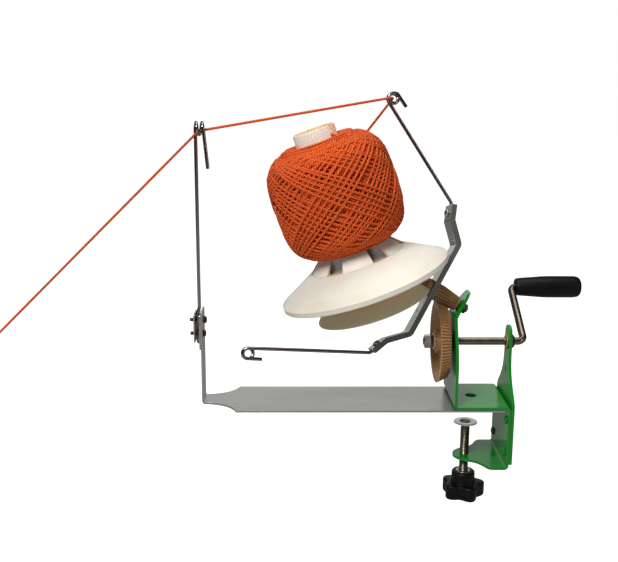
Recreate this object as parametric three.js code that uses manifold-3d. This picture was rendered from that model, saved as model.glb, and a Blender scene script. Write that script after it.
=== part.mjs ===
// Hand-cranked ball winder on a table clamp: a bent-sheet frame, a bevel-geared flyer and a tilted spindle.
// Millimetres, +Z up, +X towards the crank handle, -Y towards the user.
// The origin lies on the underside of the base strip, above the clamp screw.
import * as THREE from "three";
import { mergeVertices } from "three/addons/utils/BufferGeometryUtils.js";
import Module from "manifold-3d";

const wasm = await Module();
wasm.setup();

const rad = THREE.MathUtils.degToRad;
const V2 = (x, y) => new THREE.Vector2(x, y);
const V3 = (x, y, z) => new THREE.Vector3(x, y, z);

// ---------------------------------------------------------------- driving dimensions

const GAP = 0.3; // left between pieces that touch

const WIDTH = 75; // the sheet parts, front to back
const STRIP = 2; // thickness of the base strip
const SHEET = 3; // thickness of the green plates

const SHAFT_Z = 65; // height of the crank shaft
const SHAFT_R = 4;
const CRANK_ARM = 83;
const CRANK_REST = 60; // the arm leans this far back from upright at rest, degrees

const MODULE = 1;
const GEAR_TEETH = 80;
const PINION_TEETH = 16;
const RING_TEETH = 70;
const NOSE_TEETH = 10;
const GEAR_X = -30; // where the drive gear has its pitch diameter
const GEAR_LEFT = -35; // its big end
const GEAR_RIGHT = -24;

const FLYER_TILT = 31; // flyer axis above horizontal, degrees
const SPINDLE_TILT = 19.5; // spindle axis off vertical, degrees
const FLYER_REST = 18.4; // the flyer's turn about its own axis at rest, degrees
const HUB_FROM_APEX = 108; // from the apex of the first bevel pair to the flyer's strip
const HUB_TO_APEX2 = 98; // and on to the apex of the second pair
const SKIRT_BELOW_APEX2 = 46.5;
const TAB_BEHIND_HUB = 33.4; // the tilted tab that carries the axle
const AXLE_R = 3;

const WIRE_R = 1.8; // guide and flyer wires
const YARN_R = 1.3;
const SCREW_R = 4.9; // the clamp screw

const axisAngle = 90 - FLYER_TILT - SPINDLE_TILT; // between the flyer and the spindle

// A bevel pair: pitch cone angles in radians, and the module as an angle seen from the apex.
function bevelPair(sum, teethSmall, teethLarge, internal) {
  const s = rad(sum);
  const ratio = teethSmall / teethLarge;
  const large = Math.atan(Math.sin(s) / (Math.cos(s) + (internal ? -ratio : ratio)));
  const small = internal ? large - s : s - large;
  return { small, large };
}

const drivePair = bevelPair(FLYER_TILT, PINION_TEETH, GEAR_TEETH, false);
const pitchR = (MODULE * GEAR_TEETH) / 2;
const driveMu = (MODULE * Math.sin(drivePair.large)) / pitchR;
const APEX_X = GEAR_X + pitchR / Math.tan(drivePair.large);

const ringPair = bevelPair(axisAngle, NOSE_TEETH, RING_TEETH, true);
const RING_NEAR = 60; // cone distances of the ring gear's teeth
const RING_FAR = 67;
const ringMu = (2 * Math.sin(ringPair.large)) / RING_TEETH;

const flyerAxis = V3(-Math.cos(rad(FLYER_TILT)), 0, Math.sin(rad(FLYER_TILT)));
const hub = V3(APEX_X, 0, SHAFT_Z).addScaledVector(flyerAxis, HUB_FROM_APEX);
const apex2 = hub.clone().addScaledVector(flyerAxis, HUB_TO_APEX2);
const spindleAxis = V3(-Math.sin(rad(SPINDLE_TILT)), 0, Math.cos(rad(SPINDLE_TILT)));
const skirtBase = apex2.clone().addScaledVector(spindleAxis, -SKIRT_BELOW_APEX2);

// ---------------------------------------------------------------- materials

function finish(color, roughness, metalness) {
  return new THREE.MeshStandardMaterial({ color, roughness, metalness });
}

const green = finish("#0e8a22", 0.15, 0.1);
const zinc = finish("#a9aca6", 0.35, 0.8);
const chrome = finish("#d9dadb", 0.12, 1);
const steel = finish("#8c8378", 0.25, 1);
const bronze = finish("#b98a54", 0.4, 0.6);
const nylon = finish("#b58a52", 0.5, 0);
const cream = finish("#e9e4d6", 0.45, 0);
const black = finish("#161514", 0.4, 0);
const dark = finish("#3a2a20", 0.4, 0.6);
const wool = finish("#c9502a", 0.9, 0);

// ---------------------------------------------------------------- solids

function toSolid(geometry) {
  const g = geometry.clone();
  g.deleteAttribute("normal");
  g.deleteAttribute("uv");
  const merged = mergeVertices(g, 1e-4);
  const index = new Uint32Array(merged.index.array);
  const p = merged.attributes.position;
  let volume = 0;
  const [a, b, c] = [V3(), V3(), V3()];
  for (let i = 0; i < index.length; i += 3) {
    a.fromBufferAttribute(p, index[i]);
    b.fromBufferAttribute(p, index[i + 1]);
    c.fromBufferAttribute(p, index[i + 2]);
    volume += a.dot(b.cross(c));
  }
  if (volume < 0) index.reverse();
  const mesh = new wasm.Mesh({ numProp: 3, vertProperties: p.array, triVerts: index });
  return new wasm.Manifold(mesh);
}

function toGeometry(solid) {
  const { vertProperties, triVerts } = solid.getMesh();
  const g = new THREE.BufferGeometry();
  g.setAttribute("position", new THREE.BufferAttribute(new Float32Array(vertProperties), 3));
  g.setIndex(new THREE.BufferAttribute(new Uint32Array(triVerts), 1));
  g.computeVertexNormals();
  return g;
}

function combine(start, rest, step) {
  let solid = toSolid(start);
  for (const g of rest) solid = solid[step](toSolid(g));
  return toGeometry(solid);
}

const cut = (body, ...tools) => combine(body, tools, "subtract");
const join = (body, ...parts) => combine(body, parts, "add");

// A piece turned about +Z from a closed profile of [radius, height] points.
function turned(profile, sides = 20) {
  const points = profile.map(([r, h]) => V2(r, h));
  if (THREE.ShapeUtils.isClockWise(points)) points.reverse();
  if (points[0].x > 0 || points.at(-1).x > 0) points.push(points[0].clone());
  return new THREE.LatheGeometry(points, sides).rotateX(Math.PI / 2);
}

function disc(radius, from, to, sides = 20) {
  return turned([[0, from], [radius, from], [radius, to], [0, to]], sides);
}

function ring(inner, outer, from, to, sides = 20) {
  return turned([[inner, from], [outer, from], [outer, to], [inner, to]], sides);
}

const alongX = (geometry) => geometry.rotateY(Math.PI / 2);
const move = (geometry, x, y, z) => geometry.translate(x, y, z);

function box(x0, x1, y0, y1, z0, z1) {
  const g = new THREE.BoxGeometry(x1 - x0, y1 - y0, z1 - z0);
  return g.translate((x0 + x1) / 2, (y0 + y1) / 2, (z0 + z1) / 2);
}

// A prism along +Z from a closed outline.
function prism(shape, from, to, curveSegments = 4) {
  const g = new THREE.ExtrudeGeometry(shape, { depth: to - from, bevelEnabled: false, curveSegments });
  return g.translate(0, 0, from);
}

// The same with the outline in the YZ plane, run along X.
function prismX(shape, from, to) {
  return prism(shape, from, to).applyMatrix4(
    new THREE.Matrix4().makeBasis(V3(0, 1, 0), V3(0, 0, 1), V3(1, 0, 0)),
  );
}

// Points of a path with each corner rounded off.
function rounded(corners, radius, steps = 3) {
  const out = [corners[0].clone()];
  for (let i = 1; i < corners.length - 1; i++) {
    const [before, at, after] = [corners[i - 1], corners[i], corners[i + 1]];
    const u = before.clone().sub(at).normalize();
    const w = after.clone().sub(at).normalize();
    const half = Math.acos(THREE.MathUtils.clamp(u.dot(w), -1, 1)) / 2;
    const back = radius / Math.tan(half);
    const centre = u.clone().add(w).normalize().multiplyScalar(radius / Math.sin(half)).add(at);
    const from = u.multiplyScalar(back).add(at).sub(centre);
    const to = w.multiplyScalar(back).add(at).sub(centre);
    const turn = Math.PI - 2 * half;
    for (let k = 0; k <= steps; k++) {
      const t = (k / steps) * turn;
      const p = from.clone().multiplyScalar(Math.sin(turn - t));
      out.push(p.addScaledVector(to, Math.sin(t)).divideScalar(Math.sin(turn)).add(centre));
    }
  }
  out.push(corners.at(-1).clone());
  return out;
}

// A round wire or rod through the given points, closed at both ends.
function rod(path, radius, sides = 8) {
  const n = path.length;
  const tangents = path.map((p, i) =>
    path[Math.min(i + 1, n - 1)].clone().sub(path[Math.max(i - 1, 0)]).normalize(),
  );
  const normal = V3(0.13, 0.31, 0.94).cross(tangents[0]).normalize();
  const position = [];
  for (let i = 0; i < n; i++) {
    normal.addScaledVector(tangents[i], -normal.dot(tangents[i])).normalize();
    const side = tangents[i].clone().cross(normal);
    for (let k = 0; k < sides; k++) {
      const a = (k / sides) * 2 * Math.PI;
      const p = path[i].clone().addScaledVector(normal, radius * Math.cos(a));
      position.push(...p.addScaledVector(side, radius * Math.sin(a)).toArray());
    }
  }
  return skin(position, n, sides);
}

// The closed surface over rows of points: each row is a loop, and both ends are capped flat.
function skin(position, rows, sides) {
  const index = [];
  for (let i = 0; i + 1 < rows; i++)
    for (let k = 0; k < sides; k++) {
      const [a, b] = [i * sides + k, i * sides + ((k + 1) % sides)];
      index.push(a, b, b + sides, a, b + sides, a + sides);
    }
  const first = [];
  for (let k = 0; k < sides; k++) first.push(V3().fromArray(position, 3 * k));
  const flat = flatten(first);
  for (const [a, b, c] of THREE.ShapeUtils.triangulateShape(flat, [])) {
    const last = (rows - 1) * sides;
    index.push(a, c, b, last + a, last + b, last + c);
  }
  const g = new THREE.BufferGeometry();
  g.setAttribute("position", new THREE.Float32BufferAttribute(position, 3));
  g.setIndex(index);
  return g;
}

// A planar loop of 3-D points as 2-D points, seen so that it runs counter-clockwise.
function flatten(loop) {
  const normal = V3();
  for (let i = 0; i < loop.length; i++)
    normal.add(loop[i].clone().cross(loop[(i + 1) % loop.length]));
  normal.sub(V3()).normalize();
  const u = loop[1].clone().sub(loop[0]);
  u.addScaledVector(normal, -u.dot(normal)).normalize();
  const v = normal.clone().cross(u);
  return loop.map((p) => V2(p.dot(u), p.dot(v)));
}

// The outline of a bent sheet seen from its edge.
function sheetOutline(corners, thickness, bendRadius) {
  const path = rounded(corners, bendRadius);
  const n = path.length;
  const sides = [1, -1].map((side) =>
    path.map((p, i) => {
      const t = path[Math.min(i + 1, n - 1)].clone().sub(path[Math.max(i - 1, 0)]).normalize();
      return p.clone().add(V2(-t.y, t.x).multiplyScalar((side * thickness) / 2));
    }),
  );
  return new THREE.Shape([...sides[0], ...sides[1].reverse()]);
}

// A strip bent in the XZ plane and `width` wide along Y.
function bentStrip(corners, thickness, width, bendRadius) {
  const g = prism(sheetOutline(corners, thickness, bendRadius), -width / 2, width / 2);
  return g.rotateX(Math.PI / 2);
}

// ---------------------------------------------------------------- gear teeth

// Bevel teeth with their apex at the origin, from cone plane to cone plane along +Z.
// Each plane is [distance, scale distance], so that a stretch can also run straight.
function bevelTeeth({ teeth, pitch, mu, up, down, rootWidth, tipWidth, phase, planes }) {
  const step = (2 * Math.PI) / teeth;
  const outline = [];
  for (let i = 0; i < teeth; i++) {
    const centre = phase + i * step;
    outline.push([pitch - down * mu, centre - (rootWidth / 2) * step]);
    outline.push([pitch + up * mu, centre - (tipWidth / 2) * step]);
    outline.push([pitch + up * mu, centre + (tipWidth / 2) * step]);
    outline.push([pitch - down * mu, centre + (rootWidth / 2) * step]);
  }
  const position = [];
  for (const [z, scale] of planes)
    for (const [cone, a] of outline) {
      const r = scale * Math.tan(cone);
      position.push(r * Math.cos(a), r * Math.sin(a), z);
    }
  return skin(position, planes.length, outline.length);
}

// ---------------------------------------------------------------- the assembly

const winder = new THREE.Group();
winder.name = "ball_winder";

// A nested frame whose +Z runs along `axis` and whose +X lies in the XZ plane, then turned about +Z.
function tiltedFrame(origin, axis, turn) {
  const group = new THREE.Group();
  const x = V3(0, 1, 0).cross(axis).normalize();
  const m = new THREE.Matrix4().makeBasis(x, V3(0, 1, 0), axis);
  group.quaternion.setFromRotationMatrix(m);
  group.rotateZ(rad(turn));
  group.position.copy(origin);
  winder.add(group);
  return group;
}

const axleFrame = tiltedFrame(hub, flyerAxis, 0); // z = 0 at the flyer's strip
const flyer = tiltedFrame(hub, flyerAxis, FLYER_REST);
const spindle = tiltedFrame(skirtBase, spindleAxis, 0); // z = 0 at the skirt's rim

const crank = new THREE.Group(); // x along the shaft
crank.position.set(0, 0, SHAFT_Z);
const crankArm = new THREE.Group();
crankArm.rotation.x = -rad(CRANK_REST);
crank.add(crankArm);
winder.add(crank);

function add(parent, name, material, geometry) {
  const mesh = new THREE.Mesh(geometry, material);
  mesh.name = name;
  parent.add(mesh);
}

function hexNut(acrossFlats, bore, from, to) {
  return cut(disc(acrossFlats / Math.sqrt(3), from, to, 6), disc(bore, from - 1, to + 1, 16));
}

// A pan-head screw along +Z: head above z = 0, shank below.
function panScrew(head, height, shank, length) {
  const profile = [[0, -length], [shank, -length], [shank, 0], [head, 0]];
  profile.push([head, 0.5 * height], [0.6 * head, height], [0, height]);
  return turned(profile, 12);
}

// ---------------------------------------------------------------- base strip and clamp frame

const PLATE_X = -17.3; // mid-plane of the upright
const BACK_X = 38.2; // mid-plane of the back plate
const JAW_Z = -61.8;
const baseMid = STRIP + GAP + SHEET / 2;
const tabX = -277.6; // left end of the base strip, where it turns up
const TAB_HALF = 12.5;
const TAB_TOP = 99;
const FIXING_HOLE = V2(4.5, 0);

function baseStrip() {
  const profile = [V2(tabX, TAB_TOP), V2(tabX, STRIP / 2), V2(33, STRIP / 2)];
  const strip = bentStrip(profile, STRIP, WIDTH, 2.5);
  const waist = new THREE.Shape();
  waist.moveTo(-300, TAB_HALF);
  waist.lineTo(-273, TAB_HALF + 0.8);
  waist.bezierCurveTo(-256, 16, -246, 24, -242, WIDTH / 2 + 0.1);
  waist.lineTo(-242, 60);
  waist.lineTo(-300, 60);
  const side = prism(waist, -5, TAB_TOP + 5);
  const otherSide = side.clone().applyMatrix4(new THREE.Matrix4().makeScale(1, -1, 1));
  const holes = guideScrews.map(([y, z]) => move(alongX(disc(2.3, -5, 5, 16)), tabX, y, z));
  return cut(strip, side, otherSide, ...holes);
}

// Where the tilted tab's mid-plane meets the upright's.
const tabCentre = hub.clone().addScaledVector(flyerAxis, -TAB_BEHIND_HUB);
const tabUp = V2(Math.sin(rad(FLYER_TILT)), Math.cos(rad(FLYER_TILT)));
const BEND_Z = tabCentre.z - ((tabCentre.x - PLATE_X) * tabUp.y) / tabUp.x;
const TAB_REACH = 18;
const tabTip = V2(tabCentre.x, tabCentre.z).addScaledVector(tabUp, TAB_REACH);

function clampFrame() {
  const corners = [tabTip, V2(PLATE_X, BEND_Z), V2(PLATE_X, baseMid), V2(BACK_X, baseMid)];
  corners.push(V2(BACK_X, JAW_Z), V2(-12.3, JAW_Z));
  const sheet = bentStrip(corners, SHEET, WIDTH, 3.2);

  // The upright narrows towards its rounded tab.
  const shoulder = new THREE.Shape();
  shoulder.moveTo(WIDTH / 2 + 0.1, 42);
  shoulder.bezierCurveTo(37, 60, 30, 68, 21, 88);
  shoulder.bezierCurveTo(18, 96, 15, 99, 13.5, 104);
  shoulder.bezierCurveTo(12, 114, 6, tabTip.y + 1.6, 0, tabTip.y + 1.6);
  shoulder.lineTo(0, 130);
  shoulder.lineTo(60, 130);
  shoulder.lineTo(60, 42);
  const shoulders = prismX(shoulder, PLATE_X - 8, 20);

  // The lower jaw is a rounded tongue.
  const flank = new THREE.Shape();
  flank.moveTo(-12.4, 0);
  flank.bezierCurveTo(-12.4, 8, -5, 14, 3, 17);
  flank.bezierCurveTo(17, 22, 15, 37.5, 24, WIDTH / 2 + 0.1);
  flank.lineTo(24, 60);
  flank.lineTo(-30, 60);
  flank.lineTo(-30, 0);
  const jawSide = prism(flank, JAW_Z - 6, JAW_Z + 6);

  const mirrorY = new THREE.Matrix4().makeScale(1, -1, 1);
  const axleHole = disc(AXLE_R + 0.4, -TAB_BEHIND_HUB - 5, -TAB_BEHIND_HUB + 5, 20);
  axleFrame.updateMatrix();
  axleHole.applyMatrix4(axleFrame.matrix);
  return cut(
    sheet,
    shoulders,
    shoulders.clone().applyMatrix4(mirrorY),
    jawSide,
    jawSide.clone().applyMatrix4(mirrorY),
    axleHole,
    move(alongX(disc(6.3, -5, 5)), PLATE_X, 0, SHAFT_Z),
    move(alongX(disc(4, -5, 5, 20)), PLATE_X, 0, 34),
    move(disc(6, -5, 5), FIXING_HOLE.x, FIXING_HOLE.y, baseMid),
    move(disc(SCREW_R + 0.4, -5, 5, 24), 0, 0, JAW_Z),
    ...rivets.map(([y, z]) => move(alongX(disc(3.2, -5, 5, 16)), BACK_X, y, z)),
  );
}

const OUTER_X = [BACK_X + SHEET / 2 + GAP, BACK_X + SHEET / 2 + GAP + SHEET];

function outerPlate() {
  const half = WIDTH / 2;
  const outline = new THREE.Shape();
  outline.moveTo(-half, -55.5);
  outline.quadraticCurveTo(-half, -58.5, -half + 3, -58.5);
  outline.lineTo(half - 3, -58.5);
  outline.quadraticCurveTo(half, -58.5, half, -55.5);
  outline.lineTo(half, 1);
  outline.bezierCurveTo(37.5, 8, 33, 12, 29, 16);
  outline.bezierCurveTo(20, 25, 11.5, 34, 11, 53);
  outline.lineTo(11, 70);
  outline.bezierCurveTo(11, 77, 7, 82, 4, 82);
  outline.lineTo(-4, 82);
  outline.bezierCurveTo(-7, 82, -11, 77, -11, 70);
  outline.lineTo(-11, 53);
  outline.bezierCurveTo(-11.5, 34, -20, 25, -29, 16);
  outline.bezierCurveTo(-33, 12, -37.5, 8, -half, 1);
  return cut(
    prismX(outline, ...OUTER_X),
    move(alongX(disc(6.3, 30, 50)), 0, 0, SHAFT_Z),
    move(alongX(disc(4, 30, 50, 20)), 0, 0, 35),
    ...rivets.map(([y, z]) => move(alongX(disc(3.2, 30, 50, 16)), 0, y, z)),
  );
}

const rivets = [
  [-29, -11],
  [29, -11],
  [-29, -46.5],
  [29, -46.5],
];

function rivet(y, z) {
  const inner = BACK_X - SHEET / 2 - GAP;
  const outer = OUTER_X[1] + GAP;
  const profile = [[0, inner - 2.2], [3, inner - 1.7], [4.5, inner], [3, inner], [3, outer]];
  profile.push([4.2, outer], [0, outer + 1.2]);
  return move(alongX(turned(profile, 12)), 0, y, z);
}

// A flanged bush along +X: the flange is on the left, and the sleeve passes a sheet.
function shaftBush(from, to) {
  const profile = [[4.3, from], [8, from], [8, from + 1.2], [6, from + 1.2], [6, to], [4.3, to]];
  return move(alongX(turned(profile)), 0, 0, SHAFT_Z);
}

// ---------------------------------------------------------------- yarn guide

const guideScrews = [
  [5.5, 86.5],
  [-5.5, 75],
];
const GUIDE_X = -280.6;
const GUIDE_LOW_X = -282.4;
const LOOP_R = 5.7; // to the middle of the wire
const GUIDE_EYE_Z = 284;
const GUIDE_PITCH = 5.8;

// Up the post, one and a half turns about an axis along X, then a tail hanging down.
function guideWire() {
  const post = rounded(
    [
      V3(GUIDE_LOW_X - 0.4, 6, 62),
      V3(GUIDE_LOW_X, 0, 64.5),
      V3(GUIDE_LOW_X, 0, 95),
      V3(GUIDE_X, 0, 101),
      V3(GUIDE_X, 0, GUIDE_EYE_Z),
    ],
    2.5,
    3,
  );
  const turns = 1.5;
  const steps = 18;
  for (let i = 1; i <= steps; i++) {
    const t = (i / steps) * turns;
    const a = 2 * Math.PI * t;
    post.push(
      V3(GUIDE_X + GUIDE_PITCH * t, LOOP_R * (Math.cos(a) - 1), GUIDE_EYE_Z + LOOP_R * Math.sin(a)),
    );
  }
  const end = post.at(-1);
  post.push(V3(end.x + 0.8, end.y, end.z - 6), V3(end.x + 4, end.y, end.z - 39));
  return rod(post, WIRE_R);
}

function guideClamp(xLow, xHigh, zLow, zHigh) {
  const plate = box(xLow, xHigh, -11, 11, zLow, zHigh);
  const holes = guideScrews.map(([y, z]) => move(alongX(disc(2.3, -5, 5, 16)), xLow, y, z));
  return cut(plate, ...holes);
}

function guideScrew([y, z], length) {
  const screw = panScrew(3.9, 2.9, 2, length).rotateY(Math.PI / 2);
  return move(screw, tabX + STRIP / 2 + GAP, y, z);
}

// ---------------------------------------------------------------- crank

const crankPath = [
  V3(-48, 0, 0),
  V3(57.5, 0, 0),
  V3(57.5, 0, CRANK_ARM),
  V3(127, 0, CRANK_ARM),
];

// 80 bevel teeth on a dished wheel with a raised boss.
function driveGear() {
  const teeth = bevelTeeth({
    teeth: GEAR_TEETH,
    pitch: drivePair.large,
    mu: driveMu,
    up: 0.9,
    down: 1.15,
    rootWidth: 0.6,
    tipWidth: 0.26,
    phase: 0,
    planes: [GEAR_RIGHT, GEAR_LEFT].map((x) => [APEX_X - x, APEX_X - x]),
  });
  teeth.rotateY(-Math.PI / 2).translate(APEX_X, 0, 0);
  const web = GEAR_LEFT + 6.5;
  const dish = [[13, web], [32, web], [37.5, GEAR_LEFT - 1], [13, GEAR_LEFT - 1]];
  const boss = disc(12, GEAR_LEFT - 0.5, GEAR_RIGHT + 3.3, 32);
  return cut(join(cut(teeth, alongX(turned(dish, 36))), alongX(boss)), alongX(disc(4.25, -50, 0)));
}

function handle() {
  const [left, right] = [62.3, 134.3];
  const mouth = [[4.3, left + 3], [5.7, left], [9.2, left]];
  const profile = [...mouth, [9.7, left + 1.2], [11, left + 20], [12, left + 38]];
  profile.push([12, right - 8], [11.5, right - 3.5], [10, right - 1], [8.2, right]);
  profile.push([0, right], [0, right - 7], [4.3, right - 7]);
  return move(alongX(turned(profile, 24)), 0, 0, CRANK_ARM);
}

// ---------------------------------------------------------------- flyer

const STRIP_W = 21; // width of the flyer's strip
const STRIP_T = 5.5;
const armCorners = [V2(52.8, 0), V2(71.3, 18.4), V2(86.6, 24.5)]; // outwards, and along the axis
const armTip = armCorners[2].clone().sub(armCorners[1]).normalize();
const armOut = V2(armTip.y, -armTip.x); // outer face of the arm's end
const WIRE_SIDE = 2; // the wires sit this far off the middle of the strip
const EYE = V2(151, 133);
const EYE_R = 5.2;
const EYE_PITCH = 4.3;

const onArm = (along, out) =>
  armCorners[2].clone().addScaledVector(armTip, along).addScaledVector(armOut, out);

// A flat piece placed on the arm's end: along the arm, out from its face, and across.
function atArmEnd(geometry, along, out, across) {
  const p = onArm(along, out);
  const basis = new THREE.Matrix4().makeBasis(
    V3(armTip.x, 0, armTip.y),
    V3(0, 1, 0),
    V3(-armTip.y, 0, armTip.x),
  );
  return geometry.applyMatrix4(basis).translate(p.x, across, p.y);
}

const SOCKET = 14; // depth of the wire's hole in the end of the strip
const SCREW_ALONG = -8;
const PEGS = [1, -1].map((side) => V2(0, 5.6 * side));

// Bent flat bar. Each end is drilled for its wire, and tapped from the inner face for a screw.
function flyerStrip() {
  const half = [...armCorners].reverse();
  const corners = [...half, ...armCorners.map((p) => V2(-p.x, p.y))];
  const strip = bentStrip(corners, STRIP_T, STRIP_W, 6);
  const holes = PEGS.map((p) => move(disc(1.3, -5, 5, 12), p.x, p.y, 0));
  for (const turn of [0, 180].map(rad)) {
    const socket = alongX(disc(WIRE_R + GAP, -SOCKET - GAP, 3, 14));
    holes.push(atArmEnd(socket, 0, 0, WIRE_SIDE).rotateZ(turn));
    holes.push(atArmEnd(disc(2.3, 0, 6, 14), SCREW_ALONG, 0, WIRE_SIDE).rotateZ(turn));
  }
  holes.push(disc(AXLE_R + 0.6, -5, 5, 20), move(disc(1.6, -5, 5, 12), -27, 0, 0));
  return cut(strip, ...holes);
}

// Behind the strip: 16 teeth on a barrel that turns on the axle.
function drivePinion() {
  const teeth = bevelTeeth({
    teeth: PINION_TEETH,
    pitch: drivePair.small,
    mu: driveMu,
    up: 0.9,
    down: 1.15,
    rootWidth: 0.6,
    tipWidth: 0.26,
    phase: rad(180 - FLYER_REST) + Math.PI / PINION_TEETH,
    planes: [
      [79.7, 79.7],
      [96.5, 96.5],
      [104, 96.5],
    ],
  });
  teeth.translate(0, 0, -HUB_FROM_APEX);
  const end = -STRIP_T / 2 - GAP;
  const barrel = [[0, -31], [5.6, -31], [7.2, -30.2], [7.2, -28.3], [5.4, -28.3], [5.4, -4.5]];
  barrel.push([9.7, -4.5], [9.7, end], [0, end]);
  const sockets = PEGS.map((p) => move(disc(1.3, -8, 5, 12), p.x, p.y, 0));
  return cut(join(turned(barrel, 28), teeth), disc(AXLE_R + 0.3, -50, 60, 24), ...sockets);
}

// In front of it: a collar pegged through the strip, a barrel and ten teeth inside the ring gear.
function nosePinion() {
  const nose = bevelTeeth({
    teeth: NOSE_TEETH,
    pitch: ringPair.small,
    mu: ringMu,
    up: 0.8,
    down: 1.1,
    rootWidth: 0.6,
    tipWidth: 0.26,
    phase: rad(FLYER_REST),
    planes: [RING_NEAR, RING_FAR].map((l) => Math.cos(ringPair.small) * l).map((z) => [z, z]),
  });
  nose.rotateX(Math.PI).translate(0, 0, HUB_TO_APEX2);
  const start = STRIP_T / 2 + GAP;
  const barrel = turned([[0, start], [9, start], [9, 7.6], [8, 9], [5.2, 9], [5.2, 32], [0, 32]], 28);
  const pegs = PEGS.map((p) => move(disc(1, -7.5, start + 1, 10), p.x, p.y, 0));
  return cut(join(barrel, nose, ...pegs), disc(AXLE_R + 0.3, -50, 60, 24));
}

// Out of the strip's end, straight up past the skirt, then one and a half turns and a short tail.
function flyerWire() {
  const foot = onArm(-SOCKET, 0);
  const knee = onArm(3, 0);
  const run = EYE.clone().sub(V2(101.5, 33)).normalize();
  const side = V2(-run.y, run.x);
  const at = (p, across) => V3(p.x, across, p.y);
  const start = EYE.clone().addScaledVector(side, EYE_R);
  const path = rounded([foot, knee, start].map((p) => at(p, WIRE_SIDE)), 3.5);
  const steps = 18;
  for (let i = 1; i <= steps; i++) {
    const t = (i / steps) * 1.5;
    const a = 2 * Math.PI * t;
    const p = EYE.clone();
    p.addScaledVector(side, EYE_R * Math.cos(a)).addScaledVector(run, EYE_R * Math.sin(a));
    path.push(at(p, WIRE_SIDE - EYE_PITCH * t));
  }
  const last = path.at(-1);
  path.push(last.clone().add(at(run.clone().multiplyScalar(-15), -0.6)));
  return rod(path, WIRE_R);
}

// Its tip bears on the wire.
function wireScrew() {
  const screw = panScrew(4, 2.7, 2, STRIP_T / 2 - WIRE_R);
  return atArmEnd(screw, SCREW_ALONG, -STRIP_T / 2 - GAP, WIRE_SIDE);
}

// ---------------------------------------------------------------- gear housing, axle and spindle

const toSpindle = new THREE.Matrix4();
spindle.updateMatrix();
axleFrame.updateMatrix();
toSpindle.copy(spindle.matrix).invert().multiply(axleFrame.matrix);

// A cone with a socket for the axle in its wall, a slot for the flyer's nose and a seat for the post.
function gearHousing() {
  const wall = [[57.4, -26], [60, -26], [60, -25], [24.6, 19], [4.4, 19], [4.4, 16], [23, 16]];
  const cone = turned(wall, 44);
  const socket = disc(6.5, 42, 59).applyMatrix4(toSpindle);
  const socketBore = disc(AXLE_R + 0.3, 40, 57).applyMatrix4(toSpindle);
  const nosePath = disc(10.5, -20, 41.9, 24).applyMatrix4(toSpindle);
  const seat = disc(10, 12, 18.5);
  return cut(join(cut(cone, nosePath), socket, seat), socketBore, disc(4.4, 0, 30));
}

const coreProfile = [
  [49.2, 23.3],
  [49.2, 27.6],
  [39.5, 37],
  [31.5, 48],
  [26, 66],
  [22, 150],
  [21.7, 165.5],
  [19.7, 165.5],
  [19.7, 157],
  [6.3, 157],
  [6.3, 153],
  [20, 153],
  [24, 66],
  [29.5, 48],
  [37.5, 37],
  [44, 29],
  [44, 26.3],
  [6.3, 26.3],
  [6.3, 23.3],
];

const WINDOWS = 6;
const WINDOW_AT = -2.7; // angle of the first window's middle, degrees
const WINDOW_WIDTH = 26;

// Hollow and waisted, with windows round its foot and one slot in its lip for the yarn's end.
function spindleCore() {
  const cuts = [];
  for (let i = 0; i < WINDOWS; i++) {
    const half = rad(WINDOW_WIDTH / 2);
    const wedge = new THREE.Shape([V2(12, 0), V2(70, -58 * Math.tan(half) - 2), V2(70, 58 * Math.tan(half) + 2)]);
    cuts.push(prism(wedge, 26.6, 72).rotateZ(rad(WINDOW_AT + i * (360 / WINDOWS))));
  }
  cuts.push(box(15, 26, -3.5, 3.5, 146, 170).rotateZ(rad(-38)));
  return cut(turned(coreProfile, 36), ...cuts);
}

function skirt() {
  const profile = [[49.6, 27.3], [88.8, 5.6], [88.8, 0], [86.4, 0], [86.3, 4.2], [52, 22.6]];
  profile.push([52, 20], [36, 20], [36, 23], [49.6, 23]);
  return turned(profile, 48);
}

function ringGear() {
  const planes = [RING_NEAR, RING_FAR].map((l) => l * Math.cos(ringPair.large));
  const space = bevelTeeth({
    teeth: RING_TEETH,
    pitch: ringPair.large,
    mu: ringMu,
    up: 1.1,
    down: 0.8,
    rootWidth: 0.74,
    tipWidth: 0.42,
    phase: 0,
    planes: [planes[0] - 2, planes[1] + 2].map((z) => [z, z]),
  });
  space.rotateX(Math.PI).translate(0, 0, SKIRT_BELOW_APEX2);
  const [top, bottom] = planes.map((z) => SKIRT_BELOW_APEX2 - z);
  const body = turned(
    [[38, bottom], [52.5, bottom], [52.5, 16], [51, 19.7], [49.3, 19.7], [49.3, top], [38, top]],
    40,
  );
  return cut(body, space);
}

function spindleBush(from, to) {
  const profile = [[4.3, from], [8.5, from], [8.5, from + 1.5], [6, from + 1.5], [6, to], [4.3, to]];
  return turned(profile);
}

// The wound cake of yarn, open along the middle for the core.
function yarnCake() {
  const outside = [[40, 41], [50, 46], [58.5, 54], [63.2, 72], [63.8, 98], [62.6, 124]];
  outside.push([58.5, 137], [49, 148], [37, 153.5], [22.8, 155]);
  const bore = [[22.8, 148], [26.6, 66], [32, 48.4], [37.2, 41.4]];
  return turned([...outside, ...bore], 36);
}

// ---------------------------------------------------------------- clamp

const PAD_TOP = -23.8;

// A dished washer, loose on the screw's end.
function clampPad() {
  const top = [[12.6, PAD_TOP], [6, PAD_TOP], [4.9, PAD_TOP - 1.6], [3.3, PAD_TOP - 1.6]];
  const under = [[3.3, PAD_TOP - 2.6], [5.4, PAD_TOP - 2.6], [6.4, PAD_TOP - 1], [12.6, PAD_TOP - 1]];
  return turned([...top, ...under], 28);
}

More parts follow.
